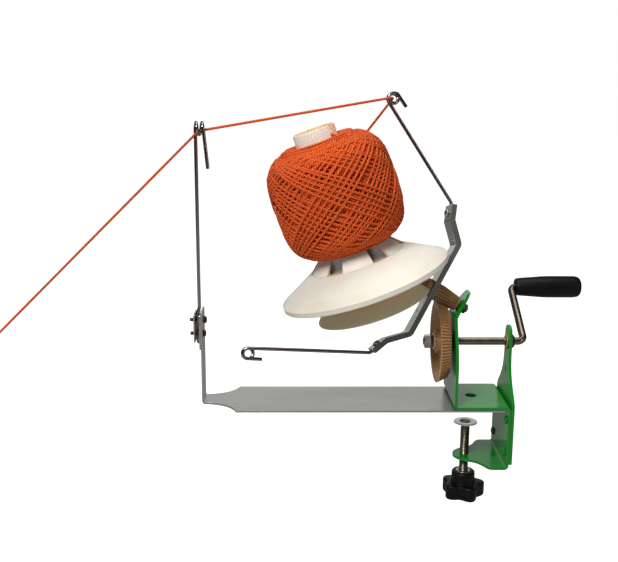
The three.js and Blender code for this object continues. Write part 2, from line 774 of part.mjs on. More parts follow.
// Stepped at the top, and spread over the pad inside its dish.
function clampScrew() {
  const profile = [[0, -97.6], [SCREW_R, -97.6], [SCREW_R, PAD_TOP - 2.9], [3, PAD_TOP - 2.9]];
  profile.push([3, PAD_TOP - 1.3], [4.2, PAD_TOP - 1.3], [3.6, PAD_TOP - 0.5], [0, PAD_TOP - 0.4]);
  return turned(profile);
}

// A five-lobed star under a round hub.
function clampKnob() {
  const star = new THREE.Shape();
  const lobes = 5;
  const steps = 50;
  for (let i = 0; i < steps; i++) {
    const a = (i / steps) * 2 * Math.PI;
    const r = 20.3 + 2.9 * Math.cos(lobes * a);
    if (i === 0) star.moveTo(r, 0);
    else star.lineTo(r * Math.cos(a), r * Math.sin(a));
  }
  const body = join(prism(star, -108, -92.5), disc(12.4, -97, -80, 28));
  return cut(body, disc(8.3, -98, -70));
}

function knobInsert() {
  return ring(SCREW_R + 0.25, 8, -97.7, -79.4);
}

// ---------------------------------------------------------------- yarn

// The strand's corners: its knotted far end, the guide, in at the front of the flyer's upper eyelet
// and out at its back, then the point where it lies down on the cake.
const strandEnd = V3(-510, -5.4, 52);
const guideEye = V3(-277, -5.4, 281.7);
flyer.updateMatrix();
const eyeFront = V3(EYE.x - 0.8, -8.5, EYE.y + 0.9).applyMatrix4(flyer.matrix);
const eyeBack = V3(EYE.x - 1.2, 5.6, EYE.y).applyMatrix4(flyer.matrix);
const cakeTouch = V3(-136.8, 64.2, 236.8);
const YARN_BEND = 5.2;
const KNOT_R = 3.8;

function yarnFeed() {
  const along = guideEye.clone().sub(strandEnd).normalize();
  const start = strandEnd.clone().addScaledVector(along, KNOT_R + GAP);
  const finish = guideEye.clone().addScaledVector(along, -GAP);
  return rod([start, start.clone().lerp(finish, 1 / 3), start.clone().lerp(finish, 2 / 3), finish], YARN_R);
}

function yarnSpan() {
  const start = guideEye.clone().lerp(eyeFront, 0.006);
  return rod(rounded([start, eyeFront, eyeBack, cakeTouch], YARN_BEND, 4), YARN_R);
}

function yarnKnot() {
  const ball = turned([[0, -KNOT_R], [2.7, -2.6], [KNOT_R, 0], [2.7, 2.6], [0, KNOT_R]], 10);
  return ball.translate(strandEnd.x, strandEnd.y, strandEnd.z);
}

// ---------------------------------------------------------------- nodes

add(winder, "base_strip", zinc, baseStrip());
add(winder, "clamp_frame", green, clampFrame());
add(winder, "outer_plate", green, outerPlate());
rivets.forEach(([y, z], i) => add(winder, `rivet_${i + 1}`, green, rivet(y, z)));
const uprightFace = PLATE_X - SHEET / 2;
add(winder, "shaft_bush_left", bronze, shaftBush(uprightFace - GAP - 1.2, uprightFace + SHEET));
add(winder, "shaft_bush_right", bronze, shaftBush(OUTER_X[0] - GAP - 1.2, OUTER_X[1]));

add(winder, "guide_wire", chrome, guideWire());
add(winder, "guide_clamp_inner", zinc, guideClamp(tabX - 2.8, tabX - 1.3, 58, 95));
add(winder, "guide_clamp_outer", zinc, guideClamp(GUIDE_LOW_X - 3.6, GUIDE_LOW_X - 2.1, 66, 96));
add(winder, "guide_screw_upper", dark, guideScrew(guideScrews[0], 15));
add(winder, "guide_screw_lower", dark, guideScrew(guideScrews[1], 13.4));

add(axleFrame, "flyer_axle", steel, turned([[0, -43], [AXLE_R, -43], [AXLE_R, 56.5], [0, 56.5]]));
const tabBack = -TAB_BEHIND_HUB - SHEET / 2;
add(axleFrame, "axle_washer", dark, ring(AXLE_R + 0.25, 5.6, tabBack - 1.3, tabBack - GAP));
add(axleFrame, "axle_nut", dark, hexNut(10, AXLE_R + 0.25, tabBack - 6.6, tabBack - 1.6));
add(axleFrame, "thrust_washer_rear", steel, ring(3.4, 5, -31.7, -31.25));
add(axleFrame, "thrust_washer_front", steel, ring(3.4, 5, 38.4, 41.6));

add(spindle, "gear_housing", cream, gearHousing());
add(spindle, "spindle_post", steel, turned([[0, 4], [4, 4], [4, 160], [3.2, 161], [0, 161]]));
add(spindle, "post_washer", steel, ring(4.25, 9, 10.4, 11.7));
add(spindle, "post_nut", steel, hexNut(13, 4.25, 4.6, 10.1));
add(spindle, "post_cap", chrome, ring(4.2, 7, 157.3, 159.8));

add(crankArm, "crank_rod", steel, rod(rounded(crankPath, 7, 5), SHAFT_R, 12));
add(crankArm, "crank_handle", black, handle());
add(crank, "crank_collar", dark, alongX(turned([[4.2, 43.6], [8, 43.6], [6, 47], [4.2, 47]])));
add(crank, "drive_gear", nylon, driveGear());
add(crank, "gear_washer", chrome, alongX(ring(4.2, 8.5, -37.5, -35.8)));
add(crank, "spring_washer", steel, alongX(ring(4.2, 6.6, -40.1, -37.8, 24)));
add(crank, "gear_nut", chrome, alongX(hexNut(13, 4.2, -47, -40.4)));

add(flyer, "flyer_strip", zinc, flyerStrip());
add(flyer, "drive_pinion", nylon, drivePinion());
add(flyer, "nose_pinion", nylon, nosePinion());
for (const [side, turn] of [["upper", 0], ["lower", 180]]) {
  add(flyer, `flyer_wire_${side}`, chrome, flyerWire().rotateZ(rad(turn)));
  add(flyer, `wire_screw_${side}`, zinc, wireScrew().rotateZ(rad(turn)));
}

add(spindle, "spindle_core", cream, spindleCore());
add(spindle, "spindle_skirt", cream, skirt());
add(spindle, "ring_gear", nylon, ringGear());
add(spindle, "spindle_bush_lower", bronze, spindleBush(21.4, 26));
add(spindle, "spindle_bush_upper", bronze, spindleBush(151.2, 156.6));
add(spindle, "yarn_cake", wool, yarnCake());

add(winder, "clamp_pad", chrome, clampPad());
add(winder, "clamp_screw", steel, clampScrew());
add(winder, "clamp_knob", black, clampKnob());
add(winder, "knob_insert", zinc, knobInsert());

add(winder, "yarn_knot", wool, yarnKnot());
add(winder, "yarn_feed", wool, yarnFeed());
add(winder, "yarn_span", wool, yarnSpan());

export default winder;
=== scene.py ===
"""Ball winder, dressed for its portrait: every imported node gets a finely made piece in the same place.

Sizes are in millimetres, in the part's own frame, and turn into metres where a mesh is made.
"""
import math
import random
from math import acos, atan, cos, pi, sin, tan

import bmesh
import bpy
from mathutils import Matrix, Vector


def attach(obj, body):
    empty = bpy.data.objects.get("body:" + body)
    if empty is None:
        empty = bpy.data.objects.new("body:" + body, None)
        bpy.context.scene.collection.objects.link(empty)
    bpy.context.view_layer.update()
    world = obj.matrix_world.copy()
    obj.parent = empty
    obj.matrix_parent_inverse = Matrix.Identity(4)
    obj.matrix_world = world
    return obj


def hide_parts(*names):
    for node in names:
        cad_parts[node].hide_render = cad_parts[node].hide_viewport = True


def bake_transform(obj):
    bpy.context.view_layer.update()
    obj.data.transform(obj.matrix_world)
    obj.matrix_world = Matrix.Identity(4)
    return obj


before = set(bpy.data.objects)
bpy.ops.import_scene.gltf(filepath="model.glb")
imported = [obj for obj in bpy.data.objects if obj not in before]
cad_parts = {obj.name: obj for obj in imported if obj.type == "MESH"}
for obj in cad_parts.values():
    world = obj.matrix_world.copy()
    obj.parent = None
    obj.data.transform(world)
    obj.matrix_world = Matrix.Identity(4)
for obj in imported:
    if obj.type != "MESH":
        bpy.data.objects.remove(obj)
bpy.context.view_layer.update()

MM = 0.001

# ---------------- driving dimensions

WIDTH = 75  # the sheet parts, front to back
STRIP = 2  # thickness of the base strip
SHEET = 3  # thickness of the green plates
GAP = 0.3
SHAFT_Z = 65
SHAFT_R = 4
CRANK_ARM = 83
CRANK_REST = 60
GEAR_TEETH = 80
PINION_TEETH = 16
NOSE_TEETH = 10
RING_TEETH = 70
GEAR_X = -30  # where the drive gear has its pitch diameter
GEAR_LEFT = -35
GEAR_RIGHT = -24
FLYER_TILT = 31
SPINDLE_TILT = 19.5
FLYER_REST = 18.4
HUB_FROM_APEX = 108
HUB_TO_APEX2 = 98
SKIRT_BELOW_APEX2 = 46.5
TAB_BEHIND_HUB = 33.4
AXLE_R = 3
WIRE_R = 1.8
YARN_R = 1.3
SCREW_R = 4.9  # the clamp screw
PLATE_X = -17.3
BACK_X = 38.2
JAW_Z = -61.8
BASE_MID = STRIP + GAP + SHEET / 2
TAB_X = -277.6
OUTER_X = (BACK_X + SHEET / 2 + GAP, BACK_X + SHEET / 2 + GAP + SHEET)


def rad(degrees):
    return math.radians(degrees)


def about_z(degrees):
    return Matrix.Rotation(rad(degrees), 4, "Z")


def angles(count):
    """Equal steps round one turn, from 0."""
    return [2 * pi * k / count for k in range(count)]


def polar(r, a, z):
    return (r * cos(a), r * sin(a), z)


def bevel_pair(total, small_teeth, large_teeth, internal):
    """Pitch cone angles of a bevel pair whose axes meet at `total` degrees."""
    ratio = small_teeth / large_teeth
    large = atan(sin(rad(total)) / (cos(rad(total)) + (-ratio if internal else ratio)))
    return (large - rad(total) if internal else rad(total) - large), large


PINION_CONE, GEAR_CONE = bevel_pair(FLYER_TILT, PINION_TEETH, GEAR_TEETH, False)
NOSE_CONE, RING_CONE = bevel_pair(90 - FLYER_TILT - SPINDLE_TILT, NOSE_TEETH, RING_TEETH, True)
DRIVE_MU = 2 * sin(GEAR_CONE) / GEAR_TEETH
RING_MU = 2 * sin(RING_CONE) / RING_TEETH
APEX_X = GEAR_X + (GEAR_TEETH / 2) / tan(GEAR_CONE)

FLYER_AXIS = Vector((-cos(rad(FLYER_TILT)), 0, sin(rad(FLYER_TILT))))
SPINDLE_AXIS = Vector((-sin(rad(SPINDLE_TILT)), 0, cos(rad(SPINDLE_TILT))))
HUB = Vector((APEX_X, 0, SHAFT_Z)) + HUB_FROM_APEX * FLYER_AXIS
APEX2 = HUB + HUB_TO_APEX2 * FLYER_AXIS
SKIRT_BASE = APEX2 - SKIRT_BELOW_APEX2 * SPINDLE_AXIS


def tilted(origin, axis, turn=0.0):
    """A frame whose +Z runs along `axis` and whose +X lies in the XZ plane, then turned about +Z."""
    x = Vector((0, 1, 0)).cross(axis).normalized()
    m = Matrix((x, Vector((0, 1, 0)), axis)).transposed().to_4x4()
    m.translation = origin
    return m @ about_z(turn)


ROW = Matrix.Identity(4)
AXLE = tilted(HUB, FLYER_AXIS)
FLYER = tilted(HUB, FLYER_AXIS, FLYER_REST)
FLYER_BACK = FLYER @ about_z(180)
SPINDLE = tilted(SKIRT_BASE, SPINDLE_AXIS)
ALONG_X = Matrix.Rotation(pi / 2, 4, "Y")  # +Z becomes +X


def at_x(x, y, z):
    """A frame at a point, whose +Z runs along X."""
    return Matrix.Translation((x, y, z)) @ ALONG_X


SHAFT = at_x(0, 0, SHAFT_Z)
ARM = Matrix.Translation((0, 0, SHAFT_Z)) @ Matrix.Rotation(-rad(CRANK_REST), 4, "X")

# ---------------- camera

CAMERA_AT = Vector((-180.0, -935.3, 344.0))
CAMERA_LENS = 54.41
CAMERA_PITCH = 12.937  # down from level
CAMERA_YAW = 0.767  # towards the crank
CAMERA_ROLL = 0.259


def add_object(name, data):
    obj = bpy.data.objects.new(name, data)
    bpy.context.scene.collection.objects.link(obj)
    return obj


def make_camera():
    data = bpy.data.cameras.new("camera")
    data.lens = CAMERA_LENS
    data.sensor_width = 36
    cam = add_object("camera", data)
    yaw, pitch, roll = rad(CAMERA_YAW), rad(CAMERA_PITCH), rad(CAMERA_ROLL)
    ahead = Vector((sin(yaw) * cos(pitch), cos(yaw) * cos(pitch), -sin(pitch)))
    level = Vector((cos(yaw), -sin(yaw), 0))
    up = level.cross(ahead)
    right = cos(roll) * level + sin(roll) * up
    up = -sin(roll) * level + cos(roll) * up
    turn = Matrix((right, up, -ahead)).transposed().to_4x4()
    cam.matrix_world = Matrix.Translation(CAMERA_AT * MM) @ turn
    bpy.context.scene.camera = cam


make_camera()

# ---------------- materials


class Nodes:
    """A short hand for building one material's node tree."""

    def __init__(self, name):
        self.material = bpy.data.materials.new(name)
        self.material.use_nodes = True
        self.tree = self.material.node_tree
        self.shader = self.tree.nodes["Principled BSDF"]

    def add(self, kind, **settings):
        node = self.tree.nodes.new(kind)
        for key, value in settings.items():
            if key in node.inputs:
                node.inputs[key].default_value = value
            else:
                setattr(node, key, value)
        return node

    def link(self, out, into):
        self.tree.links.new(out, into)

    def set(self, **values):
        for key, value in values.items():
            self.shader.inputs[key.replace("_", " ")].default_value = value

    def place(self, scale=(1, 1, 1), source="Object"):
        coordinates = self.add("ShaderNodeTexCoord")
        mapping = self.add("ShaderNodeMapping")
        mapping.inputs["Scale"].default_value = scale
        self.link(coordinates.outputs[source], mapping.inputs["Vector"])
        return mapping.outputs["Vector"]

    def noise(self, scale, detail=4.0, stretch=(1, 1, 1)):
        node = self.add("ShaderNodeTexNoise", Scale=scale, Detail=detail)
        self.link(self.place(stretch), node.inputs["Vector"])
        return node.outputs["Fac"]

    def ramp(self, factor, *stops):
        node = self.add("ShaderNodeValToRGB")
        while len(node.color_ramp.elements) < len(stops):
            node.color_ramp.elements.new(0.5)
        for element, (at, colour) in zip(node.color_ramp.elements, stops):
            element.position = at
            element.color = (*colour, 1)
        self.link(factor, node.inputs["Fac"])
        return node.outputs["Color"]

    def colour(self, factor, *stops):
        self.link(self.ramp(factor, *stops), self.shader.inputs["Base Color"])

    def spread(self, factor, low, high, ends="To"):
        """0 to 1 stretched over `low` to `high`, or with `ends` "From", `low` to `high` brought to 0 to 1."""
        node = self.add("ShaderNodeMapRange")
        node.inputs[f"{ends} Min"].default_value = low
        node.inputs[f"{ends} Max"].default_value = high
        self.link(factor, node.inputs["Value"])
        return node.outputs["Result"]

    def uv(self):
        split = self.add("ShaderNodeSeparateXYZ")
        self.link(self.place(source="UV"), split.inputs["Vector"])
        return split.outputs["X"], split.outputs["Y"]

    def bump(self, height, distance, strength=1.0, before=None):
        node = self.add("ShaderNodeBump", Strength=strength, Distance=distance)
        self.link(height, node.inputs["Height"])
        if before:
            self.link(before, node.inputs["Normal"])
        self.link(node.outputs["Normal"], self.shader.inputs["Normal"])
        return node.outputs["Normal"]

    def math(self, operation, a, b=None):
        node = self.add("ShaderNodeMath", operation=operation)
        for socket, value in zip(node.inputs, (a, b)):
            if value is None:
                continue
            if isinstance(value, (int, float)):
                socket.default_value = value
            else:
                self.link(value, socket)
        return node.outputs[0]

    def times(self, a, b):
        return self.math("MULTIPLY", a, b)

    def plus(self, a, b):
        return self.math("ADD", a, b)

    def wave(self, angle):
        """0 to 1 and back, twice a turn."""
        return self.math("ABSOLUTE", self.math("SINE", angle))

    def wander(self, amount):
        """A slow drift either side of 0."""
        return self.times(self.math("SUBTRACT", self.noise(18, 4.0), 0.5), amount)


def shade(colour, amount):
    return tuple(min(1.0, c * amount) for c in colour)


def plain_look(name, colour, roughness, metal=0.0, mottle=0.12, mottle_scale=60, grain=0.02, grain_scale=2500,
               stretch=(1, 1, 1), rough_spread=0.08, **extra):
    """Colour that drifts a little, roughness that varies, and a fine grain in the bump."""
    n = Nodes(name)
    drift = n.noise(mottle_scale, 5.0, stretch)
    n.colour(drift, (0.3, shade(colour, 1 - mottle)), (0.7, shade(colour, 1 + mottle)))
    worn = n.noise(mottle_scale * 3, 3.0, stretch)
    n.link(n.spread(worn, roughness - rough_spread, roughness + rough_spread), n.shader.inputs["Roughness"])
    n.bump(n.noise(grain_scale, 2.0, stretch), grain * MM)
    n.set(Metallic=metal, **extra)
    return n.material


CREAM_DEPTH = {"Subsurface_Weight": 0.35, "Subsurface_Scale": 0.006, "Subsurface_Radius": (1.0, 0.5, 0.2)}
LOOKS = {
    "green": plain_look("green paint", (0.004, 0.215, 0.016), 0.16, mottle=0.05, mottle_scale=25, grain=0.05,
                        grain_scale=420, rough_spread=0.04, Specular_IOR_Level=0.35, Coat_Weight=0.1,
                        Coat_Roughness=0.06),
    "zinc": plain_look("zinc plate", (0.43, 0.43, 0.405), 0.28, 0.95, mottle=0.07, mottle_scale=14,
                       grain=0.012, grain_scale=900, stretch=(0.15, 1, 1)),
    "chrome": plain_look("chrome", (0.27, 0.245, 0.23), 0.10, 1.0, mottle=0.06, mottle_scale=40, grain=0.001,
                         rough_spread=0.03),
    "steel": plain_look("bright steel", (0.23, 0.185, 0.15), 0.30, 1.0, mottle=0.16, mottle_scale=70,
                        grain=0.01, grain_scale=1600, rough_spread=0.07),
    "bronze": plain_look("sintered bronze", (0.45, 0.27, 0.13), 0.42, 0.5, mottle=0.15, mottle_scale=300),
    "nylon": plain_look("brown nylon", (0.42, 0.225, 0.085), 0.42, mottle=0.12, mottle_scale=45, grain=0.05,
                        grain_scale=500, Subsurface_Weight=0.15, Subsurface_Scale=0.002),
    "cream": plain_look("cream plastic", (0.83, 0.79, 0.69), 0.38, mottle=0.025, mottle_scale=18, grain=0.03,
                        grain_scale=700, **CREAM_DEPTH),
    "black": plain_look("black plastic", (0.003, 0.0028, 0.0027), 0.42, mottle=0.25, mottle_scale=90,
                        grain=0.06, grain_scale=700, rough_spread=0.07, Specular_IOR_Level=0.18),
    "dark": plain_look("dark oxide", (0.085, 0.055, 0.040), 0.34, 0.75, mottle=0.3, mottle_scale=220),
}
BRIGHT_PLATE = plain_look("bright plate", (0.78, 0.79, 0.76), 0.30, 0.8, mottle=0.1, mottle_scale=90,
                          grain=0.01)


def wool_look():
    """Two-ply yarn: u runs once round the strand, v is the length in millimetres."""
    n = Nodes("wool")
    u, v = n.uv()
    ply = n.wave(n.times(n.plus(n.times(u, 3.0), n.times(v, 0.36)), pi))
    fibre = n.noise(2600, 3.0)
    # The colour follows the plies: painted shade in the grooves between them and painted highlight on their
    # crests, with a random drift of tone from the noise.
    tone = n.plus(n.times(ply, 0.55), n.times(n.noise(900, 4.0), 0.45))
    n.colour(tone, (0.12, (0.15, 0.013, 0.003)), (0.42, (0.56, 0.058, 0.011)), (0.85, (0.92, 0.165, 0.034)))
    first = n.bump(ply, 0.45 * MM, 0.9)
    n.bump(fibre, 0.25 * MM, 0.7, first)
    n.set(Roughness=0.9, Specular_IOR_Level=0.15, Sheen_Weight=0.06, Sheen_Roughness=0.5,
          Sheen_Tint=(1.0, 0.5, 0.3, 1.0))
    return n.material


LOOKS["wool"] = wool_look()


def cream_with_painted_shade(name, low, high):
    """The cream plastic with painted shade: warmer and darker by degrees up the spindle from `low` to `high`
    millimetres, where the skirt above shades it.
    """
    n = Nodes(name)
    along = n.add("ShaderNodeVectorMath", operation="DOT_PRODUCT")
    n.link(n.place(), along.inputs[0])
    along.inputs[1].default_value = SPINDLE_AXIS
    start = (SKIRT_BASE.dot(SPINDLE_AXIS) + low) * MM
    height = n.math("DIVIDE", n.math("SUBTRACT", along.outputs["Value"], start), (high - low) * MM)
    tone = n.plus(height, n.wander(0.2))
    # Painted shade: the colour darkens to warm brown towards the top, under the skirt.
    n.colour(tone, (0.0, (0.88, 0.80, 0.58)), (0.5, (0.84, 0.62, 0.34)), (1.0, (0.60, 0.38, 0.17)))
    n.bump(n.noise(700, 2.0), 0.03 * MM)
    n.set(Roughness=0.4, **CREAM_DEPTH)
    return n.material


def skirt_look():
    """The cream plastic with fine broken ribs round the skirt, near its rim. The ribs are also darkened in
    the colour, as painted shade.
    """
    n = Nodes("ribbed cream plastic")
    u, v = n.uv()
    rib = n.wave(n.times(v, pi / 2.0))
    dash = n.wave(n.times(u, pi * 180))
    outer = n.spread(v, 31.0, 34.0, ends="From")
    ridge = n.times(n.times(rib, n.plus(n.times(dash, 0.45), 0.55)), outer)
    # The ribs are darkened in the colour too: painted shade along them.
    tone = n.math("SUBTRACT", n.noise(18, 4.0), n.times(ridge, 0.26))
    n.colour(tone, (0.1, (0.70, 0.64, 0.52)), (0.4, (0.81, 0.77, 0.67)), (0.7, (0.85, 0.81, 0.71)))
    n.bump(ridge, 0.25 * MM, 0.5)
    n.set(Roughness=0.38, **CREAM_DEPTH)
    return n.material


def core_look_with_painted_shade():
    """The cream plastic, with v 1 on the outside. Inside, its colour is painted warmer and darker, as painted
    shade.
    """
    n = Nodes("core plastic")
    tone = n.plus(n.uv()[1], n.wander(0.3))
    n.colour(tone, (0.1, (0.80, 0.58, 0.36)), (0.6, (0.82, 0.78, 0.68)), (1.0, (0.84, 0.80, 0.70)))
    n.bump(n.noise(700, 2.0), 0.03 * MM)
    n.set(Roughness=0.38, **{**CREAM_DEPTH, "Subsurface_Weight": 0.2, "Subsurface_Scale": 0.003})
    return n.material


SKIRT_LOOK = skirt_look()

# ---------------- shapes: (points, faces[, uvs]), in millimetres


def skin(rows, close_rows=False):
    """The surface over equal loops of points. Ends are capped, or the last row joins the first."""
    count = len(rows[0])
    points = [Vector(p) for row in rows for p in row]
    faces = []
    span = len(rows) if close_rows else len(rows) - 1
    for i in range(span):
        a, b = i * count, ((i + 1) % len(rows)) * count
        for k in range(count):
            m = (k + 1) % count
            faces.append((a + k, a + m, b + m, b + k))
    if not close_rows:
        faces.append(tuple(range(count))[::-1])
        faces.append(tuple(range(len(points) - count, len(points))))
    return points, faces


def around(radius_at, z_at, sides):
    """A loop of points. Its radius and height are numbers, or functions of the angle."""
    out = []
    for a in angles(sides):
        r = radius_at(a) if callable(radius_at) else radius_at
        z = z_at(a) if callable(z_at) else z_at
        out.append(polar(r, a, z))
    return out


def lathe(profile, sides=72):
    """A turned solid about Z. The profile starts and ends on the axis, or closes on itself."""
    solid = profile[0][0] == 0 and profile[-1][0] == 0
    rows = [around(max(r, 0.01), z, sides) for r, z in profile]
    return skin(rows, close_rows=not solid)


def fillet(points, radius, steps=4, closed=True):
    """Rounds the corners of a flat outline, never by more than its short sides allow.

    `radius` is one number, or one for each corner."""
    out = []
    n = len(points)
    radii = [radius] * n if isinstance(radius, (int, float)) else radius
    for i in range(n):
        at = Vector(points[i])
        if not closed and i in (0, n - 1):
            out.append(at)
            continue
        before, after = Vector(points[i - 1]), Vector(points[(i + 1) % n])
        u, w = before - at, after - at
        room = 0.45 * min(u.length, w.length)
        u.normalize()
        w.normalize()
        half = acos(max(-1.0, min(1.0, u.dot(w)))) / 2
        if half > 1.45 or at.x == 0:
            out.append(at)
            continue
        back = min(room, radii[i] / tan(half))
        start, end = at + u * back, at + w * back
        for k in range(steps + 1):
            t = k / steps
            out.append(start * (1 - t) ** 2 + at * 2 * t * (1 - t) + end * t * t)
    return [tuple(p) for p in out]


def turned(profile, radius=0.4, sides=72, steps=3):
    """A lathe with its corners rounded."""
    closed = not (profile[0][0] == 0 and profile[-1][0] == 0)
    return lathe(fillet(profile, radius, steps, closed), sides)


def disc(radius, low, high, sides=48):
    return lathe([(0, low), (radius, low), (radius, high), (0, high)], sides)


def ring(inner, outer, low, high, radius=0.25, sides=64):
    return turned([(inner, low), (outer, low), (outer, high), (inner, high)], radius, sides)


def prism(outline, low, high):
    return skin([[(x, y, low) for x, y in outline], [(x, y, high) for x, y in outline]])


def box(x0, x1, y0, y1, z0, z1):
    return prism([(x0, y0), (x1, y0), (x1, y1), (x0, y1)], z0, z1)


def moved(shape, matrix):
    if not isinstance(matrix, Matrix):
        matrix = Matrix.Translation(matrix)
    return ([matrix @ Vector(p) for p in shape[0]], *shape[1:])


def bezier(a, b, c, d, steps=10):
    """Points after `a` up to `d` on a cubic."""
    a, b, c, d = (Vector(p) for p in (a, b, c, d))
    out = []
    for k in range(1, steps + 1):
        t = k / steps
        p = a * (1 - t) ** 3 + b * 3 * t * (1 - t) ** 2 + c * 3 * t * t * (1 - t) + d * t ** 3
        out.append(tuple(p))
    return out


def rounded(corners, radius, steps=8):
    """An open route with true arcs at its corners."""
    corners = [Vector(p) for p in corners]
    out = [corners[0].copy()]
    for i in range(1, len(corners) - 1):
        at = corners[i]
        u = (corners[i - 1] - at).normalized()
        w = (corners[i + 1] - at).normalized()
        half = acos(max(-1.0, min(1.0, u.dot(w)))) / 2
        back = radius / tan(half)
        centre = at + (u + w).normalized() * radius / sin(half)
        start, end = at + u * back - centre, at + w * back - centre
        turn = pi - 2 * half
        for k in range(steps + 1):
            t = k / steps * turn
            out.append(centre + (start * sin(turn - t) + end * sin(t)) / sin(turn))
    out.append(corners[-1].copy())
    return out


DOME = 0.35  # how much narrower a rod is at its very end


def sweep(path, radius, sides=20, closed=False):
    """A round rod along a path, with u once round it and v its length. Open ends are slightly domed."""
    path = [Vector(p) for p in path]
    n = len(path)
    tangents = []
    for i in range(n):
        if closed:
            tangents.append((path[(i + 1) % n] - path[i - 1]).normalized())
        else:
            tangents.append((path[min(i + 1, n - 1)] - path[max(i - 1, 0)]).normalized())
    side = Vector((0.13, 0.31, 0.94)).cross(tangents[0]).normalized()
    rows, lengths, run = [], [], 0.0
    for i, (p, t) in enumerate(zip(path, tangents)):
        side = (side - t * side.dot(t)).normalized()
        other = t.cross(side)
        run += (p - path[i - 1]).length if i else 0.0
        rings = [(1.0, 0.0)]
        if not closed and i == 0:
            rings = [(1 - DOME, 0.0), (1.0, DOME * 0.8)]
        if not closed and i == n - 1:
            rings = [(1.0, -DOME * 0.8), (1 - DOME, 0.0)]
        for scale, shift in rings:
            centre = p + t * shift * radius
            rows.append([centre + (side * cos(a) + other * sin(a)) * radius * scale
                         for a in angles(sides)])
            lengths.append(run)
    points, faces = skin(rows, close_rows=closed)
    if closed:
        run += (path[0] - path[-1]).length
        lengths.append(run)
    uvs = []
    for i in range(len(lengths) - 1):
        for k in range(sides):
            u0, u1 = k / sides, (k + 1) / sides
            uvs.append(((u0, lengths[i]), (u1, lengths[i]), (u1, lengths[i + 1]), (u0, lengths[i + 1])))
    while len(uvs) < len(faces):
        uvs.append(tuple((0.0, 0.0) for _ in faces[len(uvs)]))
    return points, faces, uvs


def thread(radius, depth, pitch, low, high, sides=24):
    """A screwed rod along Z with a true helix and a short taper at both ends."""
    steps = max(4, int((high - low) / pitch * 6))
    rows = []
    for i in range(steps + 1):
        z = low + (high - low) * i / steps
        taper = min(1.0, (z - low) / pitch * 0.7 + 0.1, (high - z) / pitch * 0.7 + 0.1)

        def at(a, z=z, taper=taper):
            wave = abs(((z / pitch - a / (2 * pi)) % 1.0) * 2 - 1)
            return radius - depth * (1 - taper * (1 - wave))

        rows.append(around(at, z, sides))
    return skin(rows)


def hex_nut(across, bore, low, high, sides=72):
    """Chamfered on both faces."""
    flat = across / 2

    def hexagon(a):
        return flat / cos((a + pi / 6) % (pi / 3) - pi / 6)

    def drop(a):
        return (hexagon(a) - 0.97 * flat) * 0.55

    levels = (
        (bore, low + 0.3), (bore + 0.5, low), (0.97 * flat, low), (hexagon, lambda a: low + drop(a)),
        (hexagon, lambda a: high - drop(a)), (0.97 * flat, high), (bore + 0.5, high), (bore, high - 0.3),
    )
    rows = [around(radius, z, sides) for radius, z in levels]
    return skin(rows, close_rows=True)


def curve(start, *legs):
    """Cubics end to end. Each leg is two handles, an end and a number of steps."""
    out = [start]
    for first, second, end, steps in legs:
        out += bezier(out[-1], first, second, end, steps)
    return out


def coil(turns, steps=60):
    """(turns so far, angle) at equal steps after the start."""
    return [(i / steps * turns, 2 * pi * (i / steps * turns)) for i in range(1, steps + 1)]


def bent_strip(corners, thickness, width, bend_radius):
    """A strip bent in the XZ plane and `width` wide along Y."""
    path = rounded([(x, z, 0) for x, z in corners], bend_radius, 8)
    left, right = [], []
    for i, p in enumerate(path):
        t = (path[min(i + 1, len(path) - 1)] - path[max(i - 1, 0)]).normalized()
        normal = Vector((-t.y, t.x, 0)) * thickness / 2
        left.append(p + normal)
        right.append(p - normal)
    outline = left + right[::-1]
    rows = [[(p.x, y, p.y) for p in outline] for y in (-width / 2, width / 2)]
    return skin(rows)


# ---------------- pieces


def mesh_object(name, shape, place):
    mesh = bpy.data.meshes.new(name)
    to_row = Matrix.Scale(MM, 4) @ place
    mesh.from_pydata([tuple(to_row @ Vector(p)) for p in shape[0]], [], shape[1])
    if len(shape) > 2:
        layer = mesh.uv_layers.new(name="UVMap")
        flat = [c for face in shape[2] for uv in face for c in uv]
        layer.data.foreach_set("uv", flat)
    mesh.update()
    return add_object(name, mesh)


def face_outwards(obj):
    bm = bmesh.new()
    bm.from_mesh(obj.data)
    bmesh.ops.recalc_face_normals(bm, faces=bm.faces)
    bm.to_mesh(obj.data)
    bm.free()


def bake(obj):
    """Turns the object's modifiers into its mesh."""
    depsgraph = bpy.context.evaluated_depsgraph_get()
    mesh = bpy.data.meshes.new_from_object(obj.evaluated_get(depsgraph))
    obj.modifiers.clear()
    obj.data = mesh


def carve(obj, cutters, place):
    tools = []
    for i, shape in enumerate(cutters):
        tool = mesh_object(f"{obj.name}_cutter_{i}", shape, place)
        face_outwards(tool)
        modifier = obj.modifiers.new("cut", "BOOLEAN")
        modifier.operation = "DIFFERENCE"
        modifier.solver = "EXACT"
        modifier.object = tool
        tools.append(tool)
    bpy.context.view_layer.update()
    bake(obj)
    for tool in tools:
        bpy.data.objects.remove(tool)


def piece(name, shape, body, look, *nodes, place=ROW, cuts=(), edge=0.0, sharp=34, material=None):
    """A finished piece: cut, edges rounded, smooth shaded, painted, and riding on its body."""
    obj = mesh_object(name, shape, place)
    face_outwards(obj)
    if cuts:
        carve(obj, cuts, place)
    for polygon in obj.data.polygons:
        polygon.use_smooth = True
    obj.data.set_sharp_from_angle(angle=rad(sharp))
    if edge:
        bevel = obj.modifiers.new("edges", "BEVEL")
        bevel.width = edge * MM
        bevel.segments = 3
        bevel.limit_method = "ANGLE"
        bevel.angle_limit = rad(40)
        bevel.harden_normals = True
        bpy.context.view_layer.update()
        bake(obj)
    obj.data.materials.clear()
    obj.data.materials.append(material or LOOKS[look])
    if nodes:
        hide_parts(*nodes)
    if body:
        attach(obj, body)
    return obj


def pieces(body, place, *rows):
    """Pieces of one body in one place. A row is a name, a shape, a look, a node and any options."""
    for name, shape, look, node, *options in rows:
        piece(name, shape, body, look, node, place=place, **dict(options))


# ---------------- yarn strand

